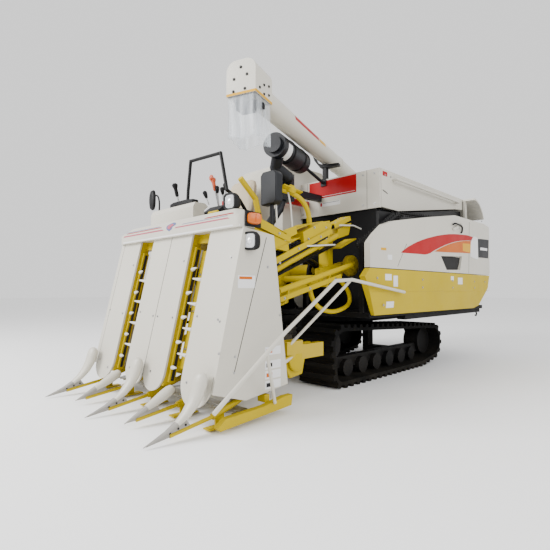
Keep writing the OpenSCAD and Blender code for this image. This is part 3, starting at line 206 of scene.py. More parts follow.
# %% [markdown]
# ## Decals that lie on the sheets
# A sticker follows the sheet it is on. Each one starts as a grid of points between a lower and an
# upper line, held a little in front of the machine. Every point is then dropped onto the CAD
# surface behind it, which gives flat stickers on flat doors and curved ones on the tube.

# %% Dropping a grid onto a surface
trees = {}


def surface(*names):
    """One search tree over the meshes of several nodes."""
    if names not in trees:
        verts, faces = [], []
        for n in names:
            start, mesh = len(verts), node[n].data
            verts += [v.co.copy() for v in mesh.vertices]
            faces += [[start + i for i in p.vertices] for p in mesh.polygons]
        trees[names] = BVHTree.FromPolygons(verts, faces)
    return trees[names]


def between(low, high, columns, rows):
    """A grid of points between two lines of equal point count, resampled to columns."""
    def along(line, t):
        x = t * (len(line) - 1)
        i = min(int(x), len(line) - 2)
        return Vector(line[i]).lerp(Vector(line[i + 1]), x - i)
    return [[along(low, c / columns).lerp(along(high, c / columns), r / rows) for c in range(columns + 1)]
            for r in range(rows + 1)]


def decal(name, finish, low, high, push, nodes, lift=0.0012, columns=24, rows=6, body=None, thick=0.0012):
    """A thin sticker: the grid between two lines, dropped along push onto the nodes."""
    tree, push = surface(*nodes), Vector(push).normalized()
    grid = between(low, high, columns, rows)
    flat = []
    for line in grid:
        for p in line:
            hit, normal, _, _ = tree.ray_cast(p - push * 0.3, push, 1.5)
            if hit is None:
                hit, normal, _, _ = tree.find_nearest(p)
            if normal.dot(push) > 0:
                normal = -normal
            flat.append((hit, normal))
    width = columns + 1
    shape = Maker()
    top = [h + n * lift for h, n in flat]
    under = [h + n * (lift - thick) for h, n in flat]
    count = len(top)
    quads = [[r * width + c, r * width + c + 1, (r + 1) * width + c + 1, (r + 1) * width + c]
             for r in range(rows) for c in range(columns)]
    faces = quads + [[count + i for i in q[::-1]] for q in quads]
    rim = ([c for c in range(columns)] + [r * width + columns for r in range(rows)]
           + [rows * width + c for c in range(columns, 0, -1)] + [r * width for r in range(rows, 0, -1)])
    faces += [[rim[i], count + rim[i], count + rim[(i + 1) % len(rim)], rim[(i + 1) % len(rim)]]
              for i in range(len(rim))]
    shape.add(top + under, faces)
    return shape.make(name, finish, body or body_of[nodes[0]])


print("decals drop onto CAD surfaces")

# %% [markdown]
# ## Finishes
# The machine is new, so its enamel is clean, but no real sheet is one flat colour. Two shader
# groups hold what all the finishes share. "field dust" mixes in a dust colour that gathers low
# down and in patches. "fine grain" gives roughness changes and the height of the tiny waves that
# sprayed paint or moulded rubber has. Each finish places them with its own values.

# %% Shared shader groups
def new_group(name, inputs, outputs):
    tree = bpy.data.node_groups.new(name, "ShaderNodeTree")
    for kind, label, value in inputs:
        socket = tree.interface.new_socket(name=label, in_out="INPUT", socket_type=kind)
        socket.default_value = value
    for kind, label in outputs:
        tree.interface.new_socket(name=label, in_out="OUTPUT", socket_type=kind)
    start, end = tree.nodes.new("NodeGroupInput"), tree.nodes.new("NodeGroupOutput")
    return tree, start, end


def noise(tree, where, scale, detail=3.0, stretch=(1, 1, 1)):
    mapping = tree.nodes.new("ShaderNodeMapping")
    mapping.inputs["Scale"].default_value = stretch
    texture = tree.nodes.new("ShaderNodeTexNoise")
    texture.inputs["Detail"].default_value = detail
    texture.inputs["Scale"].default_value = scale
    tree.links.new(where, mapping.inputs["Vector"])
    tree.links.new(mapping.outputs["Vector"], texture.inputs["Vector"])
    return texture


def ranged(tree, value, a, b, c, d):
    node_ = tree.nodes.new("ShaderNodeMapRange")
    for label, v in zip(("From Min", "From Max", "To Min", "To Max"), (a, b, c, d)):
        node_.inputs[label].default_value = v
    tree.links.new(value, node_.inputs["Value"])
    return node_.outputs["Result"]


def maths(tree, kind, a, b):
    node_ = tree.nodes.new("ShaderNodeMath")
    node_.operation = kind
    for i, v in enumerate((a, b)):
        if isinstance(v, (int, float)):
            node_.inputs[i].default_value = v
        else:
            tree.links.new(v, node_.inputs[i])
    return node_.outputs[0]


def mixed(tree, factor, a, b, kind="MIX"):
    node_ = tree.nodes.new("ShaderNodeMix")
    node_.data_type, node_.blend_type = "RGBA", kind
    for socket, v in ((node_.inputs[0], factor), (node_.inputs[6], a), (node_.inputs[7], b)):
        if isinstance(v, (int, float, tuple)):
            socket.default_value = v
        else:
            tree.links.new(v, socket)
    return node_.outputs[2]


dust, start, end = new_group(
    "field dust",
    [("NodeSocketColor", "Colour", (0.8, 0.8, 0.8, 1)),
     ("NodeSocketColor", "Dust colour", (0.3, 0.24, 0.16, 1)),
     ("NodeSocketFloat", "Dust", 0.15), ("NodeSocketFloat", "Reach", 0.9),
     ("NodeSocketFloat", "Mottle", 0.06)],
    [("NodeSocketColor", "Colour"), ("NodeSocketFloat", "Dust mask")])
place = dust.nodes.new("ShaderNodeTexCoord").outputs["Object"]
apart = dust.nodes.new("ShaderNodeSeparateXYZ")
dust.links.new(place, apart.inputs[0])
height = dust.nodes.new("ShaderNodeMath")
height.operation = "DIVIDE"
dust.links.new(apart.outputs["Z"], height.inputs[0])
dust.links.new(start.outputs["Reach"], height.inputs[1])
low_down = ranged(dust, height.outputs[0], 0.0, 1.0, 1.0, 0.12)
patches = ranged(dust, noise(dust, place, 5.0, 6.0, (1, 1, 0.5)).outputs["Fac"], 0.38, 0.68, 0.15, 1.0)
mask = maths(dust, "MULTIPLY", maths(dust, "MULTIPLY", low_down, patches), start.outputs["Dust"])
cloud = ranged(dust, noise(dust, place, 2.2, 4.0).outputs["Fac"], 0.3, 0.7, -1.0, 1.0)
shade = dust.nodes.new("ShaderNodeHueSaturation")
dust.links.new(start.outputs["Colour"], shade.inputs["Color"])
dust.links.new(maths(dust, "ADD", 1.0, maths(dust, "MULTIPLY", cloud, start.outputs["Mottle"])),
               shade.inputs["Value"])
dust.links.new(mixed(dust, mask, shade.outputs["Color"], start.outputs["Dust colour"]),
               end.inputs["Colour"])
dust.links.new(mask, end.inputs["Dust mask"])

grain, start, end = new_group(
    "fine grain",
    [("NodeSocketFloat", "Scale", 300.0), ("NodeSocketFloat", "Roughness", 0.35),
     ("NodeSocketFloat", "Spread", 0.08),
     ("NodeSocketFloat", "Dust mask", 0.0)],
    [("NodeSocketFloat", "Roughness"), ("NodeSocketFloat", "Height")])
place = grain.nodes.new("ShaderNodeTexCoord").outputs["Object"]
fine = grain.nodes.new("ShaderNodeTexNoise")
fine.inputs["Detail"].default_value = 4
grain.links.new(place, fine.inputs["Vector"])
grain.links.new(start.outputs["Scale"], fine.inputs["Scale"])
broad = noise(grain, place, 7.0, 4.0).outputs["Fac"]
swing = maths(grain, "MULTIPLY", ranged(grain, broad, 0.3, 0.7, -1.0, 1.0), start.outputs["Spread"])
rough = maths(grain, "ADD", maths(grain, "ADD", start.outputs["Roughness"], swing),
              maths(grain, "MULTIPLY", start.outputs["Dust mask"], 0.6))
grain.links.new(rough, end.inputs["Roughness"])
grain.links.new(fine.outputs["Fac"], end.inputs["Height"])

# Edge mask: near sharp edges a given colour is mixed in, broken up by noise. This is partly rubbed wear and
# partly a painted edge highlight. On the black, frame, rubber and plastic finishes its grey lightens every edge
# as if catching the light, and on cream and yellow it darkens the edges.
edge_wear_and_highlight, start, end = new_group(
    "rubbed edges and painted highlight",
    [("NodeSocketFloat", "Width", 0.004), ("NodeSocketFloat", "Amount", 0.4)],
    [("NodeSocketFloat", "Mask")])
rounded = edge_wear_and_highlight.nodes.new("ShaderNodeBevel")
rounded.samples = 4
edge_wear_and_highlight.links.new(start.outputs["Width"], rounded.inputs["Radius"])
straight = edge_wear_and_highlight.nodes.new("ShaderNodeNewGeometry").outputs["Normal"]
close = edge_wear_and_highlight.nodes.new("ShaderNodeVectorMath")
close.operation = "DOT_PRODUCT"
edge_wear_and_highlight.links.new(rounded.outputs["Normal"], close.inputs[0])
edge_wear_and_highlight.links.new(straight, close.inputs[1])
place = edge_wear_and_highlight.nodes.new("ShaderNodeTexCoord").outputs["Object"]
broken = ranged(edge_wear_and_highlight, noise(edge_wear_and_highlight, place, 42.0, 5.0).outputs["Fac"], 0.45, 0.6, 0.0, 1.0)
edge = ranged(edge_wear_and_highlight, close.outputs["Value"], 0.985, 0.85, 0.0, 1.0)
edge_wear_and_highlight.links.new(maths(edge_wear_and_highlight, "MULTIPLY", maths(edge_wear_and_highlight, "MULTIPLY", edge, broken), start.outputs["Amount"]),
               end.inputs["Mask"])
print("shader groups:", [g.name for g in bpy.data.node_groups])

# %% One function for every plain finish
slot_names = {}


def use_group(tree, group, **values):
    node_ = tree.nodes.new("ShaderNodeGroup")
    node_.node_tree = group
    for label, v in values.items():
        socket = node_.inputs[label.replace("_", " ")]
        if isinstance(v, bpy.types.NodeSocket):
            tree.links.new(v, socket)
        else:
            socket.default_value = v
    return node_


def finish_of(name, slot, colour, rough, dusty=0.1, grain_scale=300.0, bump=0.02, mottle=0.05, spread=0.06,
              metal=0.0, coat=0.0, edge=0.0, edge_colour=(0.3, 0.29, 0.27, 1), reach=0.9,
              dust_colour=(0.33, 0.27, 0.19, 1), gloss=0.4):
    """A finish made of the shared groups and one Principled shader."""
    material = bpy.data.materials.new(name)
    material.use_nodes = True
    tree = material.node_tree
    shader = tree.nodes["Principled BSDF"]
    d = use_group(tree, dust, Colour=(*colour, 1), Dust=dusty, Reach=reach, Mottle=mottle,
                  Dust_colour=dust_colour)
    g = use_group(tree, grain, Scale=grain_scale, Roughness=rough, Spread=spread,
                  Dust_mask=d.outputs["Dust mask"])
    colour_out = d.outputs["Colour"]
    # Near edges the edge colour is mixed in: partly wear, and on the dark finishes a painted edge highlight.
    if edge:
        w = use_group(tree, edge_wear_and_highlight, Width=0.004, Amount=edge)
        colour_out = mixed(tree, w.outputs["Mask"], colour_out, edge_colour)
    tree.links.new(colour_out, shader.inputs["Base Color"])
    tree.links.new(g.outputs["Roughness"], shader.inputs["Roughness"])
    lumps = tree.nodes.new("ShaderNodeBump")
    lumps.inputs["Strength"].default_value = 1.0
    lumps.inputs["Distance"].default_value = bump * 0.01
    tree.links.new(g.outputs["Height"], lumps.inputs["Height"])
    tree.links.new(lumps.outputs["Normal"], shader.inputs["Normal"])
    shader.inputs["Metallic"].default_value = metal
    shader.inputs["Specular IOR Level"].default_value = gloss
    shader.inputs["Coat Weight"].default_value = coat
    shader.inputs["Coat Roughness"].default_value = 0.12
    finishes[name], slot_names[name] = material, slot
    return material


cream = (0.54, 0.515, 0.445)
finish_of("cream enamel", "cream_paint", cream, 0.36, 0.06, 420, 0.012, 0.025, coat=0.1, edge=0.3)
finish_of("yellow enamel", "yellow_paint", (0.46, 0.335, 0.0), 0.42, 0.03, 420, 0.014, 0.05, edge=0.45,
          gloss=0.12, edge_colour=(0.25, 0.2, 0.1, 1))
finish_of("black enamel", "black_paint", (0.004, 0.004, 0.0045), 0.4, 0.02, 380, 0.012, 0.1, edge=0.3,
          gloss=0.2)
finish_of("frame enamel", "frame_grey", (0.004, 0.004, 0.0045), 0.6, 0.03, 260, 0.03, 0.12, edge=0.25,
          gloss=0.12)
finish_of("red enamel", "red_paint", (0.42, 0.012, 0.012), 0.28, 0.05, 420, 0.01, 0.05, coat=0.5)
finish_of("track rubber", "track_rubber", (0.003, 0.003, 0.003), 0.8, 0.05, 180, 0.08, 0.2, reach=0.4,
          gloss=0.08,
          edge=0.35, edge_colour=(0.07, 0.065, 0.06, 1))
finish_of("machined steel", "bright_steel", (0.5, 0.5, 0.5), 0.3, 0.15, 500, 0.01, 0.05, metal=1.0)
finish_of("moulded plastic", "dark_plastic", (0.005, 0.005, 0.006), 0.5, 0.03, 900, 0.05, 0.08, edge=0.1,
          gloss=0.2)
finish_of("engine iron", "engine_iron", (0.05, 0.052, 0.052), 0.6, 0.3, 160, 0.1, 0.15, metal=0.2)
print(len(finishes), "plain finishes")

# %% [markdown]
# Stickers, lamp lenses and the hanging curtain are not paint. Stickers are thin vinyl with a
# little sheen. The turn signal's lens is amber plastic that lets some light through, and the
# curtain is soft clear film with faint milky streaks.

# %% Stickers, lenses and film
for name, colour in (("red sticker", (0.36, 0.003, 0.006)), ("orange sticker", (0.50, 0.11, 0.008)),
                     ("yellow sticker", (0.62, 0.33, 0.01)), ("white sticker", (0.72, 0.72, 0.72)),
                     ("black sticker", (0.012, 0.012, 0.014)), ("blue sticker", (0.10, 0.13, 0.28)),
                     ("pink sticker", (0.42, 0.10, 0.14))):
    finish_of(name, "cream_paint", colour, 0.4, 0.02, 600, 0.006, 0.04, gloss=0.12)
# shadow gap: a flat near-black used for painted shade in folds, seams, slots, vents and notches.
finish_of("shadow gap", "dark_plastic", (0.01, 0.01, 0.01), 0.8, 0.1, 300, 0.02, 0.05)
finish_of("duct plastic", "dark_plastic", (0.008, 0.009, 0.012), 0.42, 0.03, 500, 0.05, 0.08, gloss=0.25)
finish_of("tine steel", "bright_steel", (0.62, 0.61, 0.57), 0.42, 0.1, 400, 0.02, 0.06)
finish_of("horn tip", "cream_paint", (0.30, 0.29, 0.27), 0.42, 0.2, 400, 0.03, 0.12, metal=0.35)
finish_of("orange plastic", "red_paint", (0.62, 0.09, 0.02), 0.35, 0.05, 500, 0.01, 0.05, coat=0.3)


def lens_finish(name, colour, rough, through, slot, ior=1.45):
    material = finish_of(name, slot, colour, rough, 0.0, 90, 0.06, 0.05)
    shader = material.node_tree.nodes["Principled BSDF"]
    shader.inputs["Transmission Weight"].default_value = through
    shader.inputs["IOR"].default_value = ior
    return material


lens_finish("amber lens", (0.80, 0.17, 0.01), 0.22, 0.3, "red_paint")
finish_of("mirror glass", "bright_steel", (0.55, 0.57, 0.6), 0.05, 0.0, 60, 0.0, 0.02, spread=0.01,
          metal=1.0)
film = finish_of("curtain film", "clear_film", (0.72, 0.76, 0.80), 0.3, 0.0, 30, 0.3, 0.05)
tree = film.node_tree
place = tree.nodes.new("ShaderNodeTexCoord").outputs["Object"]
streaks = noise(tree, place, 9.0, 5.0, (3, 3, 0.3)).outputs["Fac"]
tree.links.new(ranged(tree, streaks, 0.35, 0.75, 0.10, 0.42), tree.nodes["Principled BSDF"].inputs["Alpha"])
print(len(finishes), "finishes in all")

# %% [markdown]
# The seat is grained vinyl: a cell pattern gives the leather-like pores, and a slow noise tints it.

# %% Vinyl
vinyl = finish_of("seat vinyl", "seat_vinyl", (0.47, 0.39, 0.27), 0.48, 0.04, 300, 0.05, 0.08)
tree = vinyl.node_tree
cells = tree.nodes.new("ShaderNodeTexVoronoi")
cells.feature = "DISTANCE_TO_EDGE"
cells.inputs["Scale"].default_value = 260
tree.links.new(tree.nodes.new("ShaderNodeTexCoord").outputs["Object"], cells.inputs["Vector"])
lumps = next(n for n in tree.nodes if n.bl_idname == "ShaderNodeBump")
lumps.inputs["Distance"].default_value = 0.0006
tree.links.new(ranged(tree, cells.outputs["Distance"], 0.0, 0.25, 0.0, 1.0), lumps.inputs["Height"])
print("vinyl has pores", cells.inputs["Scale"].default_value, "to the metre")

# %% Every CAD node takes its finish
by_slot = {"cream_paint": "cream enamel", "yellow_paint": "yellow enamel", "black_paint": "black enamel",
           "frame_grey": "frame enamel", "red_paint": "red enamel", "track_rubber": "track rubber",
           "bright_steel": "machined steel", "dark_plastic": "moulded plastic",
           "clear_film": "curtain film",
           "seat_vinyl": "seat vinyl", "engine_iron": "engine iron"}
for name, part in node.items():
    part.data.materials.clear()
    part.data.materials.append(finishes[by_slot[slot_of[name]]])
node["air_cleaner"].data.materials[0] = finishes["duct plastic"]

# %% [markdown]
# The guide rod's foot is bolted to yellow brackets, and both belong to one node. The paint changes
# where the bracket is: a mask on the object's own coordinates is 1 low down and inboard.

# %% Two paints on the guide rod
cream_and_yellow = finish_of("cream and yellow", "cream_paint", cream, 0.36, 0.06, 420, 0.012, 0.025,
                             edge=0.3)
tree = cream_and_yellow.node_tree
place = tree.nodes.new("ShaderNodeSeparateXYZ")
tree.links.new(tree.nodes.new("ShaderNodeTexCoord").outputs["Object"], place.inputs["Vector"])
bracket_edge, bracket_top = 0.742, 0.440
inboard = maths(tree, "LESS_THAN", place.outputs["X"], bracket_edge)
low_down = maths(tree, "LESS_THAN", place.outputs["Z"], bracket_top)
bracket = maths(tree, "MULTIPLY", inboard, low_down)
shader = tree.nodes["Principled BSDF"]
was = shader.inputs["Base Color"].links[0].from_socket
tree.links.new(mixed(tree, bracket, was, (0.46, 0.325, 0.0, 1)), shader.inputs["Base Color"])
node["guide_rod"].data.materials[0] = cream_and_yellow
print("finished", len(node), "CAD nodes")

# %% [markdown]
# ## Stage
# The floor is a large flat pale sheet under a white sky. Two large panels, a strong one high in
# front and a weaker one on the machine's left, show the planes of the painted sheets without
# hard shadows.

# %% Floor, sky and lamps
floor = bpy.data.meshes.new("floor")
floor.from_pydata([(-40, -40, 0), (40, -40, 0), (40, 40, 0), (-40, 40, 0)], [], [(0, 1, 2, 3)])
floor_piece = bpy.data.objects.new("floor", floor)
bpy.context.scene.collection.objects.link(floor_piece)
pale = bpy.data.materials.new("pale floor")
pale.use_nodes = True
pale.node_tree.nodes["Principled BSDF"].inputs["Base Color"].default_value = (0.93, 0.93, 0.93, 1)
pale.node_tree.nodes["Principled BSDF"].inputs["Roughness"].default_value = 0.8
floor.materials.append(pale)
world = bpy.data.worlds.new("soft sky")
bpy.context.scene.world = world
world.use_nodes = True
world.node_tree.nodes["Background"].inputs["Color"].default_value = (1.0, 1.0, 1.0, 1)
world.node_tree.nodes["Background"].inputs["Strength"].default_value = 1.2


def soft_lamp(name, spot, target, size, power):
    data = bpy.data.lights.new(name, "AREA")
    data.size, data.energy = size, power
    lamp = bpy.data.objects.new(name, data)
    bpy.context.scene.collection.objects.link(lamp)
    lamp.location = spot
    lamp.rotation_mode = "QUATERNION"
    lamp.rotation_quaternion = (Vector(target) - Vector(spot)).to_track_quat("-Z", "Y")
    return lamp


soft_lamp("key panel", (-2.5, -6.5, 5.0), (0, 0, 1.0), 4.0, 850)
soft_lamp("side panel", (6.5, -1.0, 4.0), (0, 0, 1.0), 4.0, 230)
print("stage ready")

# %% [markdown]
# ## Repeated parts with Geometry Nodes
# Bolts, tines, chain links and chain teeth repeat many times. Their places are the points of a
# small mesh, with the direction they face stored on each point. A node tree puts one copy of a
# shape on every point. The result is turned into a plain mesh.

# %% A tree that plants one shape on every point
def planting_tree(name, shapes):
    """shapes: (node type, inputs as name -> (label, value) or value, shift along z) joined into one copy."""
    tree = bpy.data.node_groups.new(name, "GeometryNodeTree")
    tree.interface.new_socket(name="Geometry", in_out="INPUT", socket_type="NodeSocketGeometry")
    tree.interface.new_socket(name="Geometry", in_out="OUTPUT", socket_type="NodeSocketGeometry")
    finish_socket = tree.interface.new_socket(name="Finish", in_out="INPUT",
                                              socket_type="NodeSocketMaterial")
    inputs = {}
    for _, values, _ in shapes:
        for v in values.values():
            if isinstance(v, tuple) and isinstance(v[0], str) and v[0] not in inputs:
                socket = tree.interface.new_socket(name=v[0], in_out="INPUT", socket_type="NodeSocketFloat")
                socket.default_value = v[1]
                inputs[v[0]] = socket.identifier
    start, end = tree.nodes.new("NodeGroupInput"), tree.nodes.new("NodeGroupOutput")
    joined = tree.nodes.new("GeometryNodeJoinGeometry")
    for kind, values, shift in shapes:
        shape = tree.nodes.new(kind)
        for label, v in values.items():
            if isinstance(v, tuple) and isinstance(v[0], str):
                tree.links.new(start.outputs[v[0]], shape.inputs[label])
            else:
                shape.inputs[label].default_value = v
        moved = tree.nodes.new("GeometryNodeTransform")
        moved.inputs["Translation"].default_value = (0, 0, shift)
        tree.links.new(shape.outputs["Mesh"], moved.inputs["Geometry"])
        tree.links.new(moved.outputs["Geometry"], joined.inputs[0])
    aim = tree.nodes.new("GeometryNodeInputNamedAttribute")
    aim.data_type = "FLOAT_VECTOR"
    aim.inputs["Name"].default_value = "facing"
    turn = tree.nodes.new("FunctionNodeAlignRotationToVector")
    turn.axis = "Z"
    tree.links.new(aim.outputs["Attribute"], turn.inputs["Vector"])
    plant = tree.nodes.new("GeometryNodeInstanceOnPoints")
    tree.links.new(start.outputs["Geometry"], plant.inputs["Points"])
    tree.links.new(joined.outputs[0], plant.inputs["Instance"])
    tree.links.new(turn.outputs["Rotation"], plant.inputs["Rotation"])
    real = tree.nodes.new("GeometryNodeRealizeInstances")
    tree.links.new(plant.outputs["Instances"], real.inputs["Geometry"])
    paint = tree.nodes.new("GeometryNodeSetMaterial")
    tree.links.new(real.outputs["Geometry"], paint.inputs["Geometry"])
    tree.links.new(start.outputs["Finish"], paint.inputs["Material"])
    tree.links.new(paint.outputs["Geometry"], end.inputs["Geometry"])
    return tree, finish_socket.identifier, inputs


def plant(name, recipe, places, finish, body, sizes=None, slot=None):
    """places: (point, direction) pairs; recipe: what planting_tree returned."""
    tree, finish_id, inputs = recipe
    mesh = bpy.data.meshes.new(name)
    mesh.from_pydata([tuple(p) for p, _ in places], [], [])
    facing = mesh.attributes.new("facing", "FLOAT_VECTOR", "POINT")
    for i, (_, d) in enumerate(places):
        facing.data[i].vector = Vector(d).normalized()
    piece = bpy.data.objects.new(name, mesh)
    bpy.context.scene.collection.objects.link(piece)
    planting = piece.modifiers.new("planting", "NODES")
    planting.node_group = tree
    planting[finish_id] = finishes[finish]
    for label, v in (sizes or {}).items():
        planting[inputs[label]] = v
    bpy.context.view_layer.update()
    solid = bpy.data.meshes.new_from_object(piece.evaluated_get(bpy.context.evaluated_depsgraph_get()))
    piece.modifiers.clear()
    piece.data = solid
    if not solid.materials:
        solid.materials.append(finishes[finish])
    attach(piece, body)
    made.append(piece)
    print("planted", len(places), "copies as", name, len(solid.polygons), "faces")
    return piece


bolt = planting_tree("bolt head with washer", [
    ("GeometryNodeMeshCylinder",
     {"Vertices": 16, "Radius": ("Washer radius", 0.009), "Depth": ("Washer depth", 0.002)}, 0.0005),
    ("GeometryNodeMeshCylinder",
     {"Vertices": 6, "Radius": ("Head radius", 0.006), "Depth": ("Head depth", 0.010)}, 0.003),
])
tine = planting_tree("gathering tine", [
    ("GeometryNodeMeshCone", {"Vertices": 14, "Radius Bottom": ("Root radius", 0.012),
                              "Radius Top": ("Tip radius", 0.004), "Depth": ("Length", 0.085)}, 0.0),
])
link = planting_tree("chain roller", [
    ("GeometryNodeMeshCylinder",
     {"Vertices": 12, "Radius": ("Roller radius", 0.011), "Depth": ("Roller width", 0.03)}, 0.0),
    ("GeometryNodeMeshCylinder",
     {"Vertices": 12, "Radius": ("Pin radius", 0.006), "Depth": ("Pin length", 0.05)}, 0.0),
])
print("planting trees:", [g.name for g in bpy.data.node_groups if g.bl_idname == "GeometryNodeTree"])

# %% [markdown]
# ## The header's front
# The crop slides between leaning sheet panels. Small bolts hold each sheet, a thin dark strip of
# painted shade marks the fold down the middle pair, and pale tines stand in the two gaps and lift the stalks.

# %% Panel bolts, folds and tines
front = cad_box[0][1]
header_x = 0.055


def panel_y(z):
    return front + 0.328 + 0.2353 * z


panel_facing = Vector((0, -1, 0.2353)).normalized()
panels = [(-0.685, -0.390), (-0.195, 0.305), (0.500, 0.795)]


def on_panel(x, z, out=0.0):
    return Vector((x, panel_y(z), z)) + panel_facing * out


spots = []
for left, right in panels:
    spots += [(left + 0.035, 0.62), (right - 0.035, 0.60), (left + 0.06, 0.24), (right - 0.04, 0.97)]
spots += [(header_x - 0.03, 0.60), (header_x + 0.03, 0.60), (header_x + 0.09, 0.25), (-0.40 - 0.06, 0.20),
          (0.74, 0.61), (0.70, 0.24)]
plant("panel_bolts", bolt, [(on_panel(x, z), panel_facing) for x, z in spots], "machined steel", "header",
      {"Washer radius": 0.008, "Head radius": 0.005, "Head depth": 0.006})
# The folds are thin near-black strips laid on the panels: painted shade along each fold.
folds = Maker()
for x, wide in ((header_x, 0.0035), (-0.655, 0.002)):
    folds.prism([on_panel(x - wide / 2, 0.17, 0.0008), on_panel(x + wide / 2, 0.17, 0.0008),
                 on_panel(x + wide / 2, 1.148, 0.0008), on_panel(x - wide / 2, 1.148, 0.0008)],
                -panel_facing * 0.0006)
folds.make("panel_fold_painted_shade", "shadow gap", "header")
places = []
for left, right in ((-0.390, -0.195), (0.305, 0.500)):
    for k in range(5):
        z = 0.30 + 0.155 * k
        places.append((on_panel(left + 0.036, z, -0.030), (1, -0.28, 0.12)))
        if k < 4:
            places.append((on_panel(right - 0.034, z + 0.085, -0.030), (-1, -0.28, 0.12)))
plant("gathering_tines", tine, places, "tine steel", "header",
      {"Root radius": 0.013, "Tip radius": 0.005, "Length": 0.072})

# %% Cases behind the gaps, with painted shade in their chain slots
cases, slot_painted_shade, rails = Maker(), Maker(), Maker()
for left, right in ((-0.390, -0.195), (0.305, 0.500)):
    for x0, x1 in ((left - 0.004, left + 0.020), (right - 0.020, right + 0.004)):
        cases.prism([on_panel(x0, 0.21, -0.034), on_panel(x1, 0.21, -0.034), on_panel(x1, 1.075, -0.034),
                     on_panel(x0, 1.075, -0.034)], -panel_facing * 0.045)
    # Each chain slot is a thin near-black prism: painted shade inside the slot.
    for x in (left + 0.022, right - 0.022):
        slot_painted_shade.prism([on_panel(x - 0.002, 0.22, -0.046), on_panel(x + 0.002, 0.22, -0.046),
                          on_panel(x + 0.002, 1.06, -0.046), on_panel(x - 0.002, 1.06, -0.046)],
                         -panel_facing * 0.02)
    back = [(left + 0.022, 0.30), (left + 0.085, 0.30), (left + 0.115, 1.06), (left + 0.022, 1.06)]
    rails.prism([on_panel(x, z, -0.088) for x, z in back], -panel_facing * 0.012)
cases.make("gap_cases", "yellow enamel", "header", 0.002)
slot_painted_shade.make("gap_chain_slot_painted_shade", "shadow gap", "header")
rails.make("gap_back_plates", "yellow enamel", "header", 0.002)
plant("gap_plate_bolts", bolt, [(on_panel(left + 0.05, z, -0.088), panel_facing)
                                for left in (-0.390, 0.305) for z in (0.42, 0.66, 0.90)],
      "machined steel", "header")

# %% [markdown]
# ## The beam above the panels
# A printed band with thin coloured lines runs along the beam, with a blank shield in the middle,
# and a light strip marks where beam and panels meet.

# %% Beam band and strip
def beam_line(x0, x1, z, count=12):
    return [(x0 + (x1 - x0) * i / count, front - 0.1, z) for i in range(count + 1)]


ahead = (0, 1, 0)
decal("beam_strip", "white sticker", beam_line(-0.70, 0.80, 1.156), beam_line(-0.70, 0.80, 1.166), ahead,
      ["top_beam"],
      lift=0.002, rows=1)
bands = [("beam_band_1", "pink sticker", -0.64, -0.02, 1.204, 1.214),
         ("beam_band_2", "red sticker", -0.60, -0.06, 1.228, 1.235),
         ("beam_band_3", "blue sticker", -0.66, -0.10, 1.240, 1.245),
         ("beam_band_4", "pink sticker", 0.12, 0.72, 1.206, 1.214),
         ("beam_band_5", "red sticker", 0.44, 0.74, 1.236, 1.244),
         ("beam_band_6", "blue sticker", 0.20, 0.70, 1.225, 1.229)]
for name, finish, x0, x1, z0, z1 in bands:
    decal(name, finish, beam_line(x0, x1, z0), beam_line(x0 + 0.02, x1 - 0.02, z1), ahead, ["top_beam"],
          rows=1)
shield_low = [(header_x + u, front - 0.1, z) for u,
              z in ((-0.055, 1.235), (-0.03, 1.205), (0, 1.192), (0.03, 1.205), (0.055, 1.235))]
shield_high = [(header_x + u, front - 0.1, z) for u,
               z in ((-0.055, 1.240), (-0.03, 1.252), (0, 1.258), (0.03, 1.252), (0.055, 1.240))]
decal("beam_shield", "blue sticker", shield_low, shield_high, ahead, ["top_beam"], lift=0.002, columns=12,
      rows=4)
decal("beam_shield_centre", "pink sticker",
      [(x * 0.62 + header_x * 0.38, y, (z - 1.225) * 0.62 + 1.225) for x, y, z in shield_low],
      [(x * 0.62 + header_x * 0.38, y, (z - 1.225) * 0.62 + 1.225) for x, y, z in shield_high], ahead,
      ["top_beam"],
      lift=0.003, columns=12, rows=4)

# %% [markdown]
# ## The left door and the yellow skirt
# A red arc with an orange sweep behind it runs over the door, round a dark plate. Everything here
# is blank shapes. The latch is a bent strap, and small screws hold the skirt.

# %% Door stickers and latch
def side_curve(points, count=16):
    line = smooth_path([(1.1, y, z) for y, z in points], 6)
    return [line[round(i * (len(line) - 1) / count)] for i in range(count + 1)]


inward = (-1, 0, 0)
door = ["side_cover"]
decal("door_red_arc", "red sticker",
      side_curve([(-0.038, 1.089), (0.253, 1.096), (0.459, 1.104), (0.632, 1.158), (0.956, 1.244),
                  (1.318, 1.302), (1.654, 1.324)]),
      side_curve([(-0.036, 1.094), (0.168, 1.177), (0.536, 1.270), (0.959, 1.337), (1.300, 1.362),
                  (1.450, 1.368), (1.720, 1.358)]),
      inward, door, columns=40, rows=8)
decal("door_orange_sweep", "orange sticker",
      side_curve([(0.606, 1.139), (0.953, 1.152), (1.313, 1.169), (1.683, 1.181)]),
      side_curve([(0.657, 1.157), (0.956, 1.237), (1.318, 1.297), (1.654, 1.319)]), inward, door,
      columns=32, rows=6, lift=0.0018)
decal("door_yellow_sweep", "yellow sticker",
      side_curve([(1.30, 1.190), (1.50, 1.185), (1.72, 1.190)]),
      side_curve([(1.30, 1.270), (1.50, 1.278), (1.70, 1.262)]),
      inward, door, columns=20, rows=4, lift=0.0022)
decal("door_light_sweep", "white sticker",
      side_curve([(1.508, 1.141), (1.62, 1.128), (1.745, 1.122)]),
      side_curve([(1.530, 1.300), (1.62, 1.372), (1.742, 1.362)]),
      inward, door, columns=20, rows=5, lift=0.0028)
decal("door_dark_plate", "black sticker",
      side_curve([(1.753, 1.144), (1.92, 1.148), (2.081, 1.150)]),
      side_curve([(1.748, 1.356), (1.92, 1.366), (2.108, 1.372)]),
      inward, door, columns=16, rows=8, lift=0.0030)
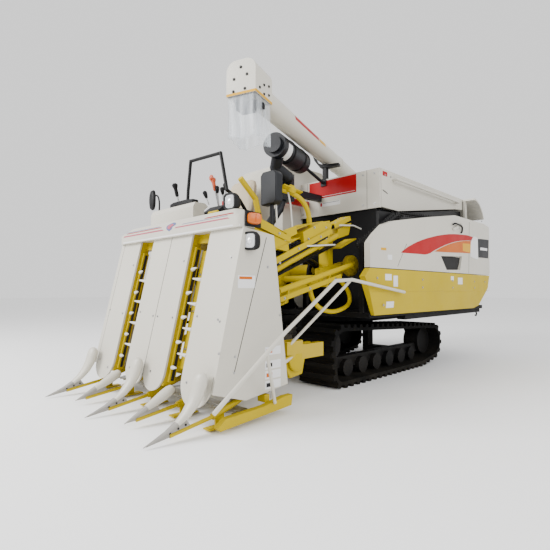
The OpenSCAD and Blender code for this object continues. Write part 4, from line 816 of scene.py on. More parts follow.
decal("door_dark_plate_bar", "white sticker",
      side_curve([(1.815, 1.232), (1.92, 1.235), (2.04, 1.237)]),
      side_curve([(1.822, 1.262), (1.92, 1.265), (2.045, 1.267)]),
      inward, door, columns=12, rows=2, lift=0.0038)
decal("door_label_1", "yellow sticker", side_curve([(-0.36, 1.090), (-0.32, 1.091), (-0.28, 1.092)]),
      side_curve([(-0.36, 1.110), (-0.32, 1.111), (-0.28, 1.112)]), inward, door, columns=4, rows=1)
decal("door_label_2", "white sticker", side_curve([(-0.26, 1.020), (-0.22, 1.021), (-0.19, 1.022)]),
      side_curve([(-0.26, 1.060), (-0.22, 1.061), (-0.19, 1.062)]), inward, door, columns=4, rows=1)
# The door seams are thin near-black tubes: painted shade in the gaps between sheets.
seams = Maker()
for a, b in (((1.46, 0.955), (1.50, 1.520)), ((-0.10, 0.97), (0.06, 1.17))):
    seams.tube([(0.9512, a[0], a[1]), (0.9512, b[0], b[1])], 0.0016, 6)
seams.make("door_seam_painted_shade", "shadow gap", "left_door")
latch = Maker()
latch.tube(smooth_path([(0.958, 1.03, 1.440), (0.975, 1.05, 1.452), (0.976, 1.14, 1.450),
                        (0.976, 1.20, 1.446),
                        (0.974, 1.235, 1.425), (0.968, 1.24, 1.385), (0.956, 1.242, 1.375)], 4), 0.009, 10)
latch.make("door_latch", "black enamel", "left_door")
# A thin near-black sheet laid in the grip pocket: painted shade in the recess.
pocket = Maker()
pocket.prism([(0.9292, 0.58, 1.126), (0.9292, 1.29, 1.116), (0.9292, 1.19, 0.963), (0.9292, 0.70, 0.969)],
             (0.0010, 0, 0))
pocket.make("grip_pocket_painted_shade", "shadow gap", "left_door")

# %% Skirt bolts, labels and the rub strip below
skirt = ["left_lower_cover"]
plant("skirt_bolts", bolt, [((0.9515, y, z), (1, 0, 0)) for y, z in
                            ((-0.42, 0.87), (-0.33, 0.66), (0.35, 0.87), (1.02, 0.87), (1.62, 0.87),
                             (1.95, 0.87), (0.35, 0.80),
                             (1.02, 0.80), (1.62, 0.80))], "machined steel", "machine",
      {"Washer radius": 0.010, "Head radius": 0.006, "Head depth": 0.007})
for i, (y0, y1, z0,
        z1) in enumerate(((-0.30, -0.20, 0.855, 0.905), (-0.17, -0.10, 0.805, 0.895),
                          (0.98, 1.05, 0.875, 0.915),
                                      (1.16, 1.28, 0.835, 0.905), (-0.27, -0.15, 0.635, 0.685))):
    decal(f"skirt_label_{i + 1}", "white sticker", side_curve([(y0, z0), ((y0 + y1) / 2, z0), (y1, z0)], 2),
          side_curve([(y0, z1), ((y0 + y1) / 2, z1), (y1, z1)], 2), inward, skirt, columns=6, rows=2)
skirt_crease = Maker()
skirt_crease.tube([(0.9508, -0.48, 0.7655), (0.9508, 2.10, 0.7655)], 0.0022, 6)
skirt_crease.make("skirt_crease", "yellow enamel", "machine")
strip = Maker()
strip.box((0.800, 0.16, 0.518), (0.880, 1.98, 0.556))
strip.box((0.700, 0.30, 0.530), (0.810, 0.36, 0.562))
strip.box((0.700, 1.60, 0.530), (0.810, 1.66, 0.562))
strip.tube(smooth_path([(0.870, 1.86, 0.530), (0.876, 1.89, 0.505), (0.876, 1.87, 0.480),
                        (0.876, 1.845, 0.487)], 5), 0.008, 10)
strip.make("rub_strip", "frame enamel", "machine", 0.003)

# %% [markdown]
# ## Hood front
# The wall behind the header carries a red blank panel with a pale rim, a thin outlined label,
# seams drawn as thin strips of painted shade, and bolts. The lid above gets its own bolts, a small badge and a
# dark line of painted shade at its notch.

# %% Hood stickers
def wall_line(x0, x1, z, count=4):
    return [(x0 + (x1 - x0) * i / count, -0.4, z) for i in range(count + 1)]


back = (0, 1, 0)
decal("hood_red_panel", "red sticker", wall_line(-0.045, 0.51, 1.672), wall_line(-0.045, 0.51, 1.838), back,
      ["hood"],
      columns=8, rows=3)
decal("hood_red_panel_rim", "white sticker", wall_line(-0.030, 0.495, 1.686),
      wall_line(-0.030, 0.495, 1.689), back, ["hood"],
      lift=0.0024, columns=8, rows=1)
decal("hood_label", "white sticker", wall_line(0.09, 0.33, 1.586), wall_line(0.09, 0.33, 1.628), back,
      ["hood"], columns=4, rows=1)
decal("hood_label_bar", "red sticker", wall_line(0.095, 0.115, 1.590), wall_line(0.095, 0.115, 1.624), back,
      ["hood"],
      lift=0.0024, columns=2, rows=1)
decal("hood_label_line", "black sticker", wall_line(0.13, 0.32, 1.618), wall_line(0.13, 0.32, 1.622), back,
      ["hood"],
      lift=0.0024, columns=2, rows=1)
hood_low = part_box("hood")[0]
wall_y = hood_low[1]
# The hood seams are thin near-black strips: painted shade in the gaps.
seam = Maker()
seam.box((-0.072, wall_y - 0.0008, 1.505), (-0.069, wall_y + 0.001, 1.849))
seam.box((0.62, wall_y - 0.0008, 1.505), (0.623, wall_y + 0.001, 1.849))
seam.make("hood_seam_painted_shade", "shadow gap", "machine")
plant("hood_bolts", bolt, [((x, wall_y, z), (0, -1, 0)) for x, z in
                           ((-0.13, 1.54), (-0.13, 1.81), (0.58, 1.54), (0.58, 1.81), (0.70, 1.54),
                            (0.70, 1.81))],
      "machined steel", "machine")
lid_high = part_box("hood_lid")[1]
plant("lid_bolts", bolt, [((lid_high[0], y, 1.80), (1, 0, 0)) for y in (0.06, 0.16, 0.28, 1.70)],
      "machined steel", "lid")
decal("lid_badge", "red sticker", [(1.0, y, 1.79) for y in (0.02, 0.06, 0.10)],
      [(1.0, y, 1.83) for y in (0.02, 0.06, 0.10)],
      inward, ["hood_lid"], columns=4, rows=2)
# A near-black line at the lid's notch: painted shade.
lid_shadow = Maker()
lid_shadow.tube([(lid_high[0] + 0.0005, 0.02, 1.66), (lid_high[0] + 0.0005, 0.10, 1.64)], 0.004, 6)
lid_shadow.make("lid_notch_painted_shade", "shadow gap", "lid")

# %% [markdown]
# ## Unloading tube and its head
# A red and an amber strip follow the tube's curve. The head is a folded box with bolts on its
# face and side, a bright edge band, and a camera bracket below. A soft clear curtain hangs from
# it, pleated by its own folds.

# %% Tube frame
aim = Vector((1.05, -3.1, 0)).normalized()
across = Vector((-aim.y, aim.x, 0))
tube_foot = Vector((-0.43, cad_box[1][1] - 0.625, 2.105))


def on_tube(s, u=0.0, h=0.0):
    return tube_foot + aim * s + across * u + Vector((0, 0, h))


tube_r = 0.0825


def tube_strip(name, finish, s0, s1, a0, a1, u0=0.0, h0=0.0, r0=tube_r, body="boom"):
    """A sticker between two lengths and two angles round the tube, 0 at the left side."""
    def line(a, r):
        return [on_tube(s0 + (s1 - s0) * i / 12, u0 + r * math.cos(a),
                        h0 + r * math.sin(a)) for i in range(13)]
    shape = Maker()
    rows, top, under = 6, [], []
    for k in range(rows + 1):
        a = math.radians(a0 + (a1 - a0) * k / rows)
        top += line(a, r0 + 0.0012)
        under += line(a, r0 + 0.0001)
    n, count = 13, len(top)
    quads = [[r * n + c, r * n + c + 1, (r + 1) * n + c + 1,
              (r + 1) * n + c] for r in range(rows) for c in range(n - 1)]
    rim = ([c for c in range(n - 1)] + [r * n + n - 1 for r in range(rows)] + [rows * n + c for c in range(n - 1, 0, -1)]
           + [r * n for r in range(rows, 0, -1)])
    shape.add(top + under, quads + [[count + i for i in q[::-1]] for q in quads]
              + [[rim[i], count + rim[i], count + rim[(i + 1) % len(rim)],
                  rim[(i + 1) % len(rim)]] for i in range(len(rim))])
    return shape.make(name, finish, body)


tube_strip("tube_red_strip", "red sticker", 2.12, 2.66, 2, 24)
tube_strip("tube_amber_strip", "yellow sticker", 1.94, 2.10, 2, 24)
clamps = Maker()
for s, wide in ((1.35, 0.05), (3.085, 0.03)):
    clamps.turned([(tube_r + 0.001, 0), (tube_r + 0.005, 0.002), (tube_r + 0.005, wide - 0.002),
                   (tube_r + 0.001, wide)],
                  on_tube(s), aim, 48)
clamps.make("tube_clamps", "cream enamel", "boom")
head_end = 3.13 + 0.235
places = [(on_tube(head_end, u, h), aim) for u,
          h in ((0, 0.10), (-0.05, 0.03), (0.045, 0.045), (-0.055, -0.05), (0.03, -0.045))]
places += [(on_tube(s, 0.1075, h), across) for s,
           h in ((3.18, 0.03), (3.18, -0.03), (3.25, 0.01), (3.25, -0.05), (3.31, -0.03))]
places += [(on_tube(s, -0.1075, h), -across) for s, h in ((3.18, 0.03), (3.18, -0.03), (3.31, -0.03))]
plant("head_bolts", bolt, places, "black enamel", "boom",
      {"Washer radius": 0.010, "Head radius": 0.007, "Head depth": 0.008})
band = Maker()
for u in (-0.1075, 0.1075):
    side = math.copysign(1, u)
    band.prism([on_tube(3.13, u, -0.075), on_tube(head_end, u, -0.075), on_tube(head_end, u, -0.058),
                on_tube(3.13, u, -0.058)],
               across * side * 0.0012)
band.prism([on_tube(head_end, -0.1075, -0.075), on_tube(head_end, 0.1075, -0.075),
            on_tube(head_end, 0.1075, -0.060),
            on_tube(head_end, -0.1075, -0.060)], aim * 0.0012)
band.make("head_edge_band", "yellow sticker", "boom")
chute = Maker()
chute.prism([on_tube(3.20, -0.07, -0.06), on_tube(3.34, -0.07, -0.06), on_tube(3.31, -0.07, -0.15),
             on_tube(3.22, -0.07, -0.15)],
            across * 0.10)
chute.make("head_bracket", "duct plastic", "boom", 0.006)
eye = Maker()
eye.turned([(0.030, 0), (0.032, 0.01), (0.032, 0.05), (0.026, 0.055)], on_tube(3.27, 0.055, -0.115),
           (aim * 0.8 + Vector((0, 0, -0.6))), 20)
eye.turned([(0.012, 0), (0.018, 0.01), (0.018, 0.04), (0.012, 0.045)], on_tube(3.24, 0.09, -0.10),
           (0, 0, -1), 16)
eye.make("head_camera", "moulded plastic", "boom")

# %% Curtain: a pleated sheet round four sides
curtain_top, curtain_drop = -0.070, 0.285
corners = [(3.140, -0.098), (3.355, -0.098), (3.355, 0.098), (3.140, 0.098)]
loop = []
for (s0, u0), (s1, u1) in zip(corners, corners[1:] + corners[:1]):
    steps = 26
    for k in range(steps):
        t = k / steps
        loop.append((s0 + (s1 - s0) * t, u0 + (u1 - u0) * t, math.atan2(u1 - u0, s1 - s0)))
rows_down = 14
verts, faces, n = [], [], len(loop)
for r in range(rows_down + 1):
    drop = curtain_drop * r / rows_down
    for k, (s, u, a) in enumerate(loop):
        wave = 0.006 * (r / rows_down) * math.sin(k * 0.71 + 0.5 * math.sin(r * 0.4)) - 0.004 * (r / rows_down)
        hem = 0.012 * math.sin(k * 0.19) * (r / rows_down)
        verts.append(on_tube(s + math.sin(a) * -wave, u + math.cos(a) * wave, curtain_top - drop - hem))
for r in range(rows_down):
    for k in range(n):
        if k in (n // 4, 3 * n // 4 + 6) and r > 3:
            continue
        faces.append([r * n + k, r * n + (k + 1) % n, (r + 1) * n + (k + 1) % n, (r + 1) * n + k])
curtain_mesh = bpy.data.meshes.new("spout_film")
curtain_mesh.from_pydata([tuple(v) for v in verts], [], faces)
for p in curtain_mesh.polygons:
    p.use_smooth = True
curtain = bpy.data.objects.new("spout_film", curtain_mesh)
bpy.context.scene.collection.objects.link(curtain)
curtain_mesh.materials.append(finishes["curtain film"])
body = curtain.modifiers.new("film thickness", "SOLIDIFY")
body.thickness, body.offset = 0.0012, 0
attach(curtain, "boom")
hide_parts("spout_curtain")

# %% [markdown]
# ## Divider horns
# Each horn is a cast cone that swells from a steel point into a rounded shoulder. A loft through
# oval rings follows that swelling better than a bent box. The worn steel point and the painted
# shoulder are two pieces, because they have two finishes.

# %% Lofted horns
def oval_loft(maker, x, rings, sides=18):
    """rings: (y, z, half width, half depth); each oval stands square to the line of ring centres."""
    pts = [Vector((x, front + y, z)) for y, z, _, _ in rings]
    loops = []
    for i, (p, ring) in enumerate(zip(pts, rings)):
        t = (pts[min(i + 1, len(pts) - 1)] - pts[max(i - 1, 0)]).normalized()
        up = t.cross(Vector((1, 0, 0))).normalized()
        loops.append([p + Vector((1, 0, 0)) * ring[2] * math.cos(a) + up * ring[3] * math.sin(a)
                      for a in (2 * math.pi * k / sides for k in range(sides))])
    faces = [[i * sides + k, i * sides + (k + 1) % sides, (i + 1) * sides + (k + 1) % sides,
              (i + 1) * sides + k]
             for i in range(len(rings) - 1) for k in range(sides)]
    faces += [list(range(sides))[::-1], list(range((len(rings) - 1) * sides, len(rings) * sides))]
    maker.add([v for loop in loops for v in loop], faces)


row_pitch = 0.352
long_rings = [(0.192, 0.086, 0.024, 0.014), (0.245, 0.122, 0.034, 0.022), (0.288, 0.170, 0.042, 0.028),
              (0.316, 0.222, 0.049, 0.032), (0.334, 0.272, 0.052, 0.034), (0.342, 0.306, 0.048, 0.031),
              (0.346, 0.326, 0.036, 0.022), (0.347, 0.334, 0.012, 0.008)]
short_rings = [(0.215, 0.096, 0.022, 0.018), (0.275, 0.124, 0.031, 0.026), (0.325, 0.150, 0.037, 0.031),
               (0.362, 0.170, 0.037, 0.031), (0.385, 0.184, 0.028, 0.023), (0.394, 0.189, 0.010, 0.008)]
shoulders, horn_tips = Maker(), Maker()
for k in (-2, 0, 2):
    x = header_x + k * row_pitch
    oval_loft(shoulders, x, long_rings)
    oval_loft(horn_tips, x,
              [(0.004, 0.012, 0.002, 0.002), (0.06, 0.030, 0.008, 0.006), (0.13, 0.055, 0.016, 0.010),
                           (0.20, 0.092, 0.024, 0.013)], 14)
    horn_tips.prism([(x - 0.003, front + 0.02, 0.012), (x - 0.003, front + 0.245, 0.105),
                     (x - 0.003, front + 0.285, 0.050),
                   (x - 0.003, front + 0.16, 0.030)], (0.006, 0, 0))
for k in (-1, 1):
    x = header_x + k * row_pitch
    oval_loft(shoulders, x, short_rings)
    oval_loft(horn_tips, x,
              [(0.080, 0.034, 0.002, 0.002), (0.14, 0.061, 0.011, 0.009), (0.22, 0.099, 0.021, 0.016)], 14)
    horn_tips.prism([(x - 0.003, front + 0.09, 0.036), (x - 0.003, front + 0.27, 0.110),
                     (x - 0.003, front + 0.31, 0.060),
                   (x - 0.003, front + 0.20, 0.040)], (0.006, 0, 0))
horn_tops = shoulders.make("horn_shoulders", "cream enamel", "header", 0.0)
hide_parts("divider_horns")
horn_tips.make("horn_points", "horn tip", "header", 0.0)
plant("horn_bolts", bolt,
      [((header_x + k * row_pitch + 0.0035, front + y, z), (1, 0, 0)) for k in (-2, 0, 2)
                           for y, z in ((0.20, 0.062), (0.15, 0.050), (0.245, 0.072))], "moulded plastic",
      "header",
      {"Washer radius": 0.006, "Head radius": 0.004, "Head depth": 0.004})

# %% [markdown]
# ## Work lamps and the side panel
# A work lamp is a rounded square housing with a deep bowl behind a ribbed glass. Rings of a
# rounded square, one behind the other, give the housing, and a second set gives the bowl.

# %% Lamps, turn signal and side labels
def rounded_square(centre, facing, half_w, half_h, shift, scale, count=28, power=4.0):
    facing = Vector(facing).normalized()
    side = Vector((0, 0, 1)).cross(facing).normalized()
    up = facing.cross(side)
    out = []
    for k in range(count):
        a = 2 * math.pi * k / count
        c, s = math.cos(a), math.sin(a)
        r = (abs(c) ** power + abs(s) ** power) ** (-1 / power)
        out.append(Vector(centre) + facing * shift + side * half_w * scale * r * c + up * half_h * scale * r * s)
    return out


def rings_of(maker, rings):
    n = len(rings[0])
    faces = [[i * n + k, i * n + (k + 1) % n, (i + 1) * n + (k + 1) % n, (i + 1) * n + k]
             for i in range(len(rings) - 1) for k in range(n)]
    faces += [list(range(n))[::-1], list(range((len(rings) - 1) * n, len(rings) * n))]
    maker.add([v for ring in rings for v in ring], faces)


finish_of("lamp bowl", "bright_steel", (0.80, 0.81, 0.83), 0.2, 0.0, 300, 0.02, 0.03, metal=0.35)
lamp_half, signal_half = (0.050, 0.055), (0.046, 0.034)
housing, bowls, glass = Maker(), Maker(), Maker()
for centre, facing in (((0.842, -1.640, 1.067), (0.25, -1, 0.02)),
                       ((0.616, -1.605, 1.335), (0.15, -1, -0.04))):
    rings_of(housing, [rounded_square(centre, facing, *lamp_half, s, f) for s, f in
                       ((-0.070, 0.45), (-0.066, 0.62), (-0.045, 0.86), (-0.020, 1.0), (0.004, 1.0),
                        (0.010, 0.96),
                        (0.010, 0.80), (0.002, 0.76))])
    rings_of(bowls,
             [rounded_square(centre, facing, *lamp_half, s, f) for s,
              f in ((0.0022, 0.755), (0.0045, 0.74))])
    f = Vector(facing).normalized()
    side = Vector((0, 0, 1)).cross(f).normalized()
    up = f.cross(side)
    for k in range(-4, 5):
        a = Vector(centre) + f * 0.0055 + side * 0.008 * k
        tall = 0.036 if abs(k) < 4 else 0.028
        glass.tube([a - up * tall, a + up * tall], 0.0022, 6)
    glass.turned([(0.016, 0.0), (0.019, 0.004), (0.012, 0.008), (0.004, 0.0095)],
                 Vector(centre) + f * 0.0045, f, 20)
housing.box((0.600, -1.575, 1.275), (0.632, -1.545, 1.300))
housing.box((0.8165, -1.66, 1.155), (0.826, -1.535, 1.245))
lamp_housings = housing.make("lamp_housings", "moulded plastic", "header", 0.0)
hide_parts("work_lamps")
bowls.make("lamp_bowls", "lamp bowl", "header")
glass.make("lamp_glass_ribs", "lamp bowl", "header")
amber = Maker()
rings_of(amber, [rounded_square((0.826, -1.60, 1.202), (1, -0.35, 0), *signal_half, s, f) for s, f in
                 ((0.000, 1.0), (0.020, 0.98), (0.030, 0.90), (0.033, 0.70))])
for k in range(-3, 4):
    amber.tube([(0.8595, -1.612, 1.202 + 0.007 * k), (0.8595, -1.58, 1.202 + 0.007 * k)], 0.0015, 6)
amber.make("turn_signal", "amber lens", "header")
panels_side, beyond_skin = ["side_panels"], 1.1


def side_label(name, finish, y0, y1, z0, z1, lift=0.0012):
    low = [(beyond_skin, y0 + (y1 - y0) * i / 3, z0) for i in range(4)]
    high = [(beyond_skin, y0 + (y1 - y0) * i / 3, z1) for i in range(4)]
    return decal(name, finish, low, high, (-1, 0, 0), panels_side, lift=lift, columns=4, rows=2)


side_label("side_label_upper", "white sticker", -1.71, -1.575, 0.79, 0.865)
side_label("side_label_upper_mark", "orange sticker", -1.70, -1.60, 0.842, 0.858, 0.0024)
for i, z in enumerate((0.43, 0.345, 0.285, 0.225)):
    side_label(f"side_label_low_{i + 1}", "white sticker", -1.49, -1.355, z - 0.050, z)
    side_label(f"side_label_mark_{i + 1}", "orange sticker" if i % 2 == 0 else "black sticker", -1.48,
               -1.43, z - 0.038, z - 0.014, 0.0024)
# The fold down the side panel is a thin near-black tube: painted shade along the crease.
fold = Maker()
fold.tube([(0.8162, -1.480, 1.102), (0.8162, -1.735, 0.308)], 0.0022, 6)
fold.make("side_panel_fold_painted_shade", "shadow gap", "header")
plant("side_panel_bolts", bolt, [((0.816, y, z), (1, 0, 0)) for y, z in
                                 ((-1.729, 0.40), (-1.845, 0.43), (-1.735, 0.31), (-1.468, 0.92),
                                  (-1.36, 0.62), (-1.36, 0.95))],
      "machined steel", "header", {"Washer radius": 0.008, "Head radius": 0.005, "Head depth": 0.006})

# %% [markdown]
# ## Feed works between the header and the body
# Yellow guides, covers and pipes carry the stalks from the header up to the feed chain. They are
# bent plate and pipe, bolted together, with black chains running between them. They ride on the
# header and stay in front of the wall behind, so the header can lift.

# %% Guides, covers and pipes
def strap(maker, a, b, side, thick):
    """A flat bar between two points: side is its half width, thick its thickness."""
    a, b, side = Vector(a), Vector(b), Vector(side)
    n = (b - a).cross(side).normalized() * thick
    return maker.prism([a - side - n / 2, b - side - n / 2, b + side - n / 2, a + side - n / 2], n)


works, dark_works = Maker(), Maker()
works.tube([(0.66, -1.48, 0.810), (0.66, -1.10, 0.980), (0.66, -0.545, 1.208)], 0.024, 16)
works.tube([(0.60, -1.40, 0.930), (0.60, -0.62, 1.245)], 0.014, 12)
for x in (0.70, 0.60):
    strap(works, (x, -1.46, 0.895), (x, -0.66, 1.235), (0, -0.008, 0.019), 0.006)
strap(dark_works, (0.64, -1.44, 0.925), (0.64, -0.62, 1.27), (0.020, 0, 0), 0.010)
strap(dark_works, (0.55, -1.40, 0.78), (0.55, -0.45, 1.15), (0.030, 0, 0), 0.016)
dark_works.tube([(0.69, -1.42, 0.875), (0.69, -0.70, 1.185)], 0.008, 8)
works.prism([(0.56, -0.975, 1.120), (0.56, -0.700, 1.125), (0.56, -0.640, 1.285), (0.56, -0.760, 1.300),
             (0.56, -0.985, 1.195)],
            (0.13, 0, 0))
works.prism([(0.53, -0.700, 1.160), (0.53, -0.560, 1.215), (0.53, -0.590, 1.330), (0.53, -0.700, 1.290)],
            (0.10, 0, 0))
strap(works, (0.60, -0.560, 1.300), (0.60, -0.335, 1.392), (0.050, 0, 0), 0.008)
strap(works, (0.652, -0.560, 1.285), (0.652, -0.335, 1.378), (0, -0.006, 0.018), 0.004)
works.prism([(0.56, -0.500, 1.190), (0.56, -0.330, 1.240), (0.56, -0.290, 1.345), (0.56, -0.480, 1.275)],
            (0.070, 0, 0))
strap(works, (0.58, -0.460, 1.120), (0.58, -0.230, 1.215), (0.060, 0, 0), 0.010)
works.tube(smooth_path([(0.56, -1.13, 1.505), (0.60, -1.02, 1.490), (0.63, -0.93, 1.440),
                        (0.63, -0.86, 1.360),
                        (0.62, -0.83, 1.255)], 6), 0.019, 14)
works.turned([(0.034, 0), (0.040, 0.006), (0.040, 0.030), (0.030, 0.040), (0.016, 0.055)],
             (0.60, -1.03, 1.49), (0.5, 0.1, 1), 20)
strap(works, (0.60, -1.12, 1.520), (0.62, -0.94, 1.490), (0.030, 0.0, 0.01), 0.008)
works.tube([(0.745, -1.30, 0.772), (0.745, -0.90, 0.870), (0.745, -0.470, 0.975)], 0.021, 14)
works.turned([(0.021, 0), (0.018, 0.010), (0.010, 0.018), (0.002, 0.021)], (0.745, -0.470, 0.975),
             (0, 0.43, 0.105), 14)
strap(works, (0.760, -1.30, 0.715), (0.760, -0.62, 0.885), (0, -0.004, 0.017), 0.007)
strap(works, (0.715, -1.30, 0.700), (0.715, -0.62, 0.870), (0, -0.004, 0.017), 0.007)
strap(works, (0.737, -1.26, 0.690), (0.737, -1.21, 0.800), (0.030, 0, 0), 0.006)
strap(works, (0.737, -0.80, 0.800), (0.737, -0.76, 0.905), (0.030, 0, 0), 0.006)
works.tube(smooth_path([(0.70, -0.94, 0.840), (0.70, -0.895, 0.715), (0.70, -0.800, 0.640),
                        (0.70, -0.650, 0.612),
                        (0.70, -0.490, 0.640), (0.70, -0.425, 0.690), (0.70, -0.445, 0.765),
                        (0.70, -0.520, 0.830),
                        (0.70, -0.60, 0.880)], 6), 0.017, 14)
works.turned([(0.030, 0), (0.085, 0.004), (0.090, 0.012), (0.090, 0.050), (0.080, 0.060), (0.036, 0.066),
              (0.030, 0.085)],
             (0.56, -0.250, 0.985), (1, 0, 0), 32)
works.prism([(0.50, -0.62, 0.80), (0.50, -0.30, 0.90), (0.50, -0.28, 1.02), (0.50, -0.62, 0.95)],
            (0.05, 0, 0))
works.prism([(0.60, -1.42, 0.600), (0.60, -1.10, 0.690), (0.60, -1.10, 0.740), (0.60, -1.42, 0.680)],
            (0.05, 0, 0))
works.make("feed_guides", "yellow enamel", "header", 0.002)
dark_works.make("feed_guide_slides", "black enamel", "header", 0.001)
gold = Maker()
gold.prism([(0.700, -1.520, 1.205), (0.700, -1.350, 1.160), (0.700, -1.150, 1.110), (0.700, -1.130, 1.140),
            (0.700, -1.340, 1.215), (0.700, -1.500, 1.258)], (0.005, 0, 0))
strap(gold, (0.60, -1.50, 1.262), (0.60, -1.17, 1.165), (0.105, 0, 0), 0.004)
strap(gold, (0.69, -1.36, 1.080), (0.69, -1.06, 1.205), (0.0, -0.010, 0.028), 0.005)
strap(gold, (0.66, -1.36, 1.015), (0.66, -1.03, 1.150), (0.040, 0, 0), 0.005)
strap(gold, (0.60, -1.10, 1.19), (0.60, -0.86, 1.275), (0.075, 0, 0), 0.005)
gold.make("feed_cover_folds", "yellow enamel", "header", 0.001)
guide_line = (Vector((0, 0.80, 0.34))).normalized()
normal_up = Vector((0, -guide_line.z, guide_line.y))
chain_places = [(Vector((0.55, -1.38, 0.79)) + guide_line * 0.030 * k + normal_up * 0.018,
                 (1, 0, 0)) for k in range(32)]
chain_places += [(Vector((0.64, -1.42, 0.945)) + guide_line * 0.030 * k + normal_up * 0.002,
                  (1, 0, 0)) for k in range(28)]
plant("feed_links", link, chain_places, "black enamel", "header",
      {"Roller width": 0.026, "Pin length": 0.040})
plant("feed_bolts", bolt,
      [((0.7035, y, z), (1, 0, 0)) for y, z in ((-1.30, 0.962), (-1.05, 1.070), (-0.80, 1.176))]
      + [((0.6905, y, z), (1, 0, 0)) for y,
         z in ((-0.93, 1.150), (-0.72, 1.170), (-0.72, 1.255), (-0.86, 1.240))]
      + [((0.60 + dx, y, z), (0, -0.38, 0.93)) for dx in (-0.03, 0.03) for y,
         z in ((-0.52, 1.321), (-0.40, 1.370))]
      + [((0.7635, y, z), (1, 0, 0)) for y, z in ((-1.26, 0.725), (-1.0, 0.790), (-0.70, 0.865))]
      + [((0.7055, y, z), (1, 0, 0)) for y, z in ((-1.44, 1.21), (-1.25, 1.158))], "machined steel",
      "header")
pipes = Maker()
for dx, dz in ((0.0, 0.0), (-0.03, 0.015), (-0.055, -0.01)):
    pipes.tube(smooth_path([(0.50 + dx, -1.45, 1.00 + dz), (0.52 + dx, -1.20, 0.96 + dz),
                            (0.50 + dx, -0.90, 1.05 + dz),
                            (0.46 + dx, -0.60, 1.02 + dz), (0.40 + dx, -0.42, 0.97 + dz)], 6), 0.008, 8)
pipes.make("feed_grease_pipes", "black enamel", "header")
thin = Maker()
thin.tube([(0.655, -0.50, 1.300), (0.66, -0.30, 1.318), (0.66, -0.19, 1.300)], 0.006, 8)
thin.tube([(0.70, -0.96, 1.095), (0.70, -0.62, 1.130)], 0.006, 8)
thin.tube([(0.58, -1.14, 1.20), (0.575, -1.15, 1.42), (0.57, -1.12, 1.50)], 0.006, 8)
thin.tube([(0.62, -1.02, 1.20), (0.615, -1.04, 1.40), (0.60, -1.05, 1.49)], 0.006, 8)
thin.make("feed_stay_rods", "tine steel", "header")
case = Maker()
case.prism([(0.47, -1.20, 1.385), (0.60, -1.20, 1.385), (0.625, -1.20, 1.41), (0.625, -1.20, 1.60),
            (0.60, -1.20, 1.625),
            (0.49, -1.20, 1.625), (0.465, -1.20, 1.60)], (0, 0.07, 0))
case.tube([(0.55, -1.165, 1.20), (0.55, -1.165, 1.39)], 0.016, 12)
case.make("header_control_case", "duct plastic", "header", 0.008)

# %% [markdown]
# ## Seat
# The seat is a padded cushion and back under grained vinyl. Air pressure in a cloth simulation
# swells a slightly smaller block into a crowned cushion, which is how the foam fills its cover.
# The movement is capped, so the pad stays where the seat is, and the piping goes on afterwards.

# %% Padded cushion and back
seat_low, seat_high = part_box("seat")


def rounded_block(low, high, lean=0.0, cuts=5, power=5.0):
    """A closed block with soft corners; lean moves its top back."""
    shape = bmesh.new()
    bmesh.ops.create_cube(shape, size=2.0)
    bmesh.ops.subdivide_edges(shape, edges=shape.edges, cuts=cuts, use_grid_fill=True)
    mid = [(a + b) / 2 for a, b in zip(low, high)]
    half = [(b - a) / 2 for a, b in zip(low, high)]
    for v in shape.verts:
        u = v.co
        r = (abs(u.x) ** power + abs(u.y) ** power + abs(u.z) ** power) ** (1 / power)
        u = u / r
        v.co = (mid[0] + half[0] * u.x, mid[1] + half[1] * u.y + lean * (u.z + 1) / 2,
                mid[2] + half[2] * u.z)
    mesh = bpy.data.meshes.new("block")
    shape.to_mesh(mesh)
    shape.free()
    return mesh


def puffed(name, low, high, lean, cap, finish="seat vinyl"):
    mesh = rounded_block(low, high, lean)
    pad = bpy.data.objects.new(name, mesh)
    bpy.context.scene.collection.objects.link(pad)
    remesh = pad.modifiers.new("even cells", "REMESH")
    remesh.mode, remesh.voxel_size = "VOXEL", 0.007
    bpy.context.view_layer.update()
    even = bpy.data.meshes.new_from_object(pad.evaluated_get(bpy.context.evaluated_depsgraph_get()))
    pad.modifiers.clear()
    pad.data = even
    start = [v.co.copy() for v in even.vertices]
    cloth = pad.modifiers.new("air", "CLOTH")
    cloth.settings.use_pressure = True
    cloth.settings.uniform_pressure_force = 4.0
    cloth.settings.effector_weights.gravity = 0.0
    for f in range(1, 21):
        bpy.context.scene.frame_set(f)
    swollen = pad.evaluated_get(bpy.context.evaluated_depsgraph_get()).to_mesh()
    ends = [v.co.copy() for v in swollen.vertices]
    pad.modifiers.clear()
    bpy.context.scene.frame_set(1)
    for v, a, b in zip(even.vertices, start, ends):
        step = b - a
        if step.length > cap:
            step = step * (cap / step.length)
        p = a + step
        v.co = (min(max(p.x, seat_low[0]), seat_high[0]), min(max(p.y, seat_low[1]), seat_high[1]),
                min(max(p.z, seat_low[2] + 0.001), seat_high[2]))
    pad.data.materials.clear()
    pad.data.materials.append(finishes[finish])
    for p in pad.data.polygons:
        p.use_smooth = True
    softer = pad.modifiers.new("softer", "SUBSURF")
    softer.levels = softer.render_levels = 1
    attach(pad, "machine")
    made.append(pad)
    print("puffed", name, len(pad.data.polygons), "faces")
    return pad


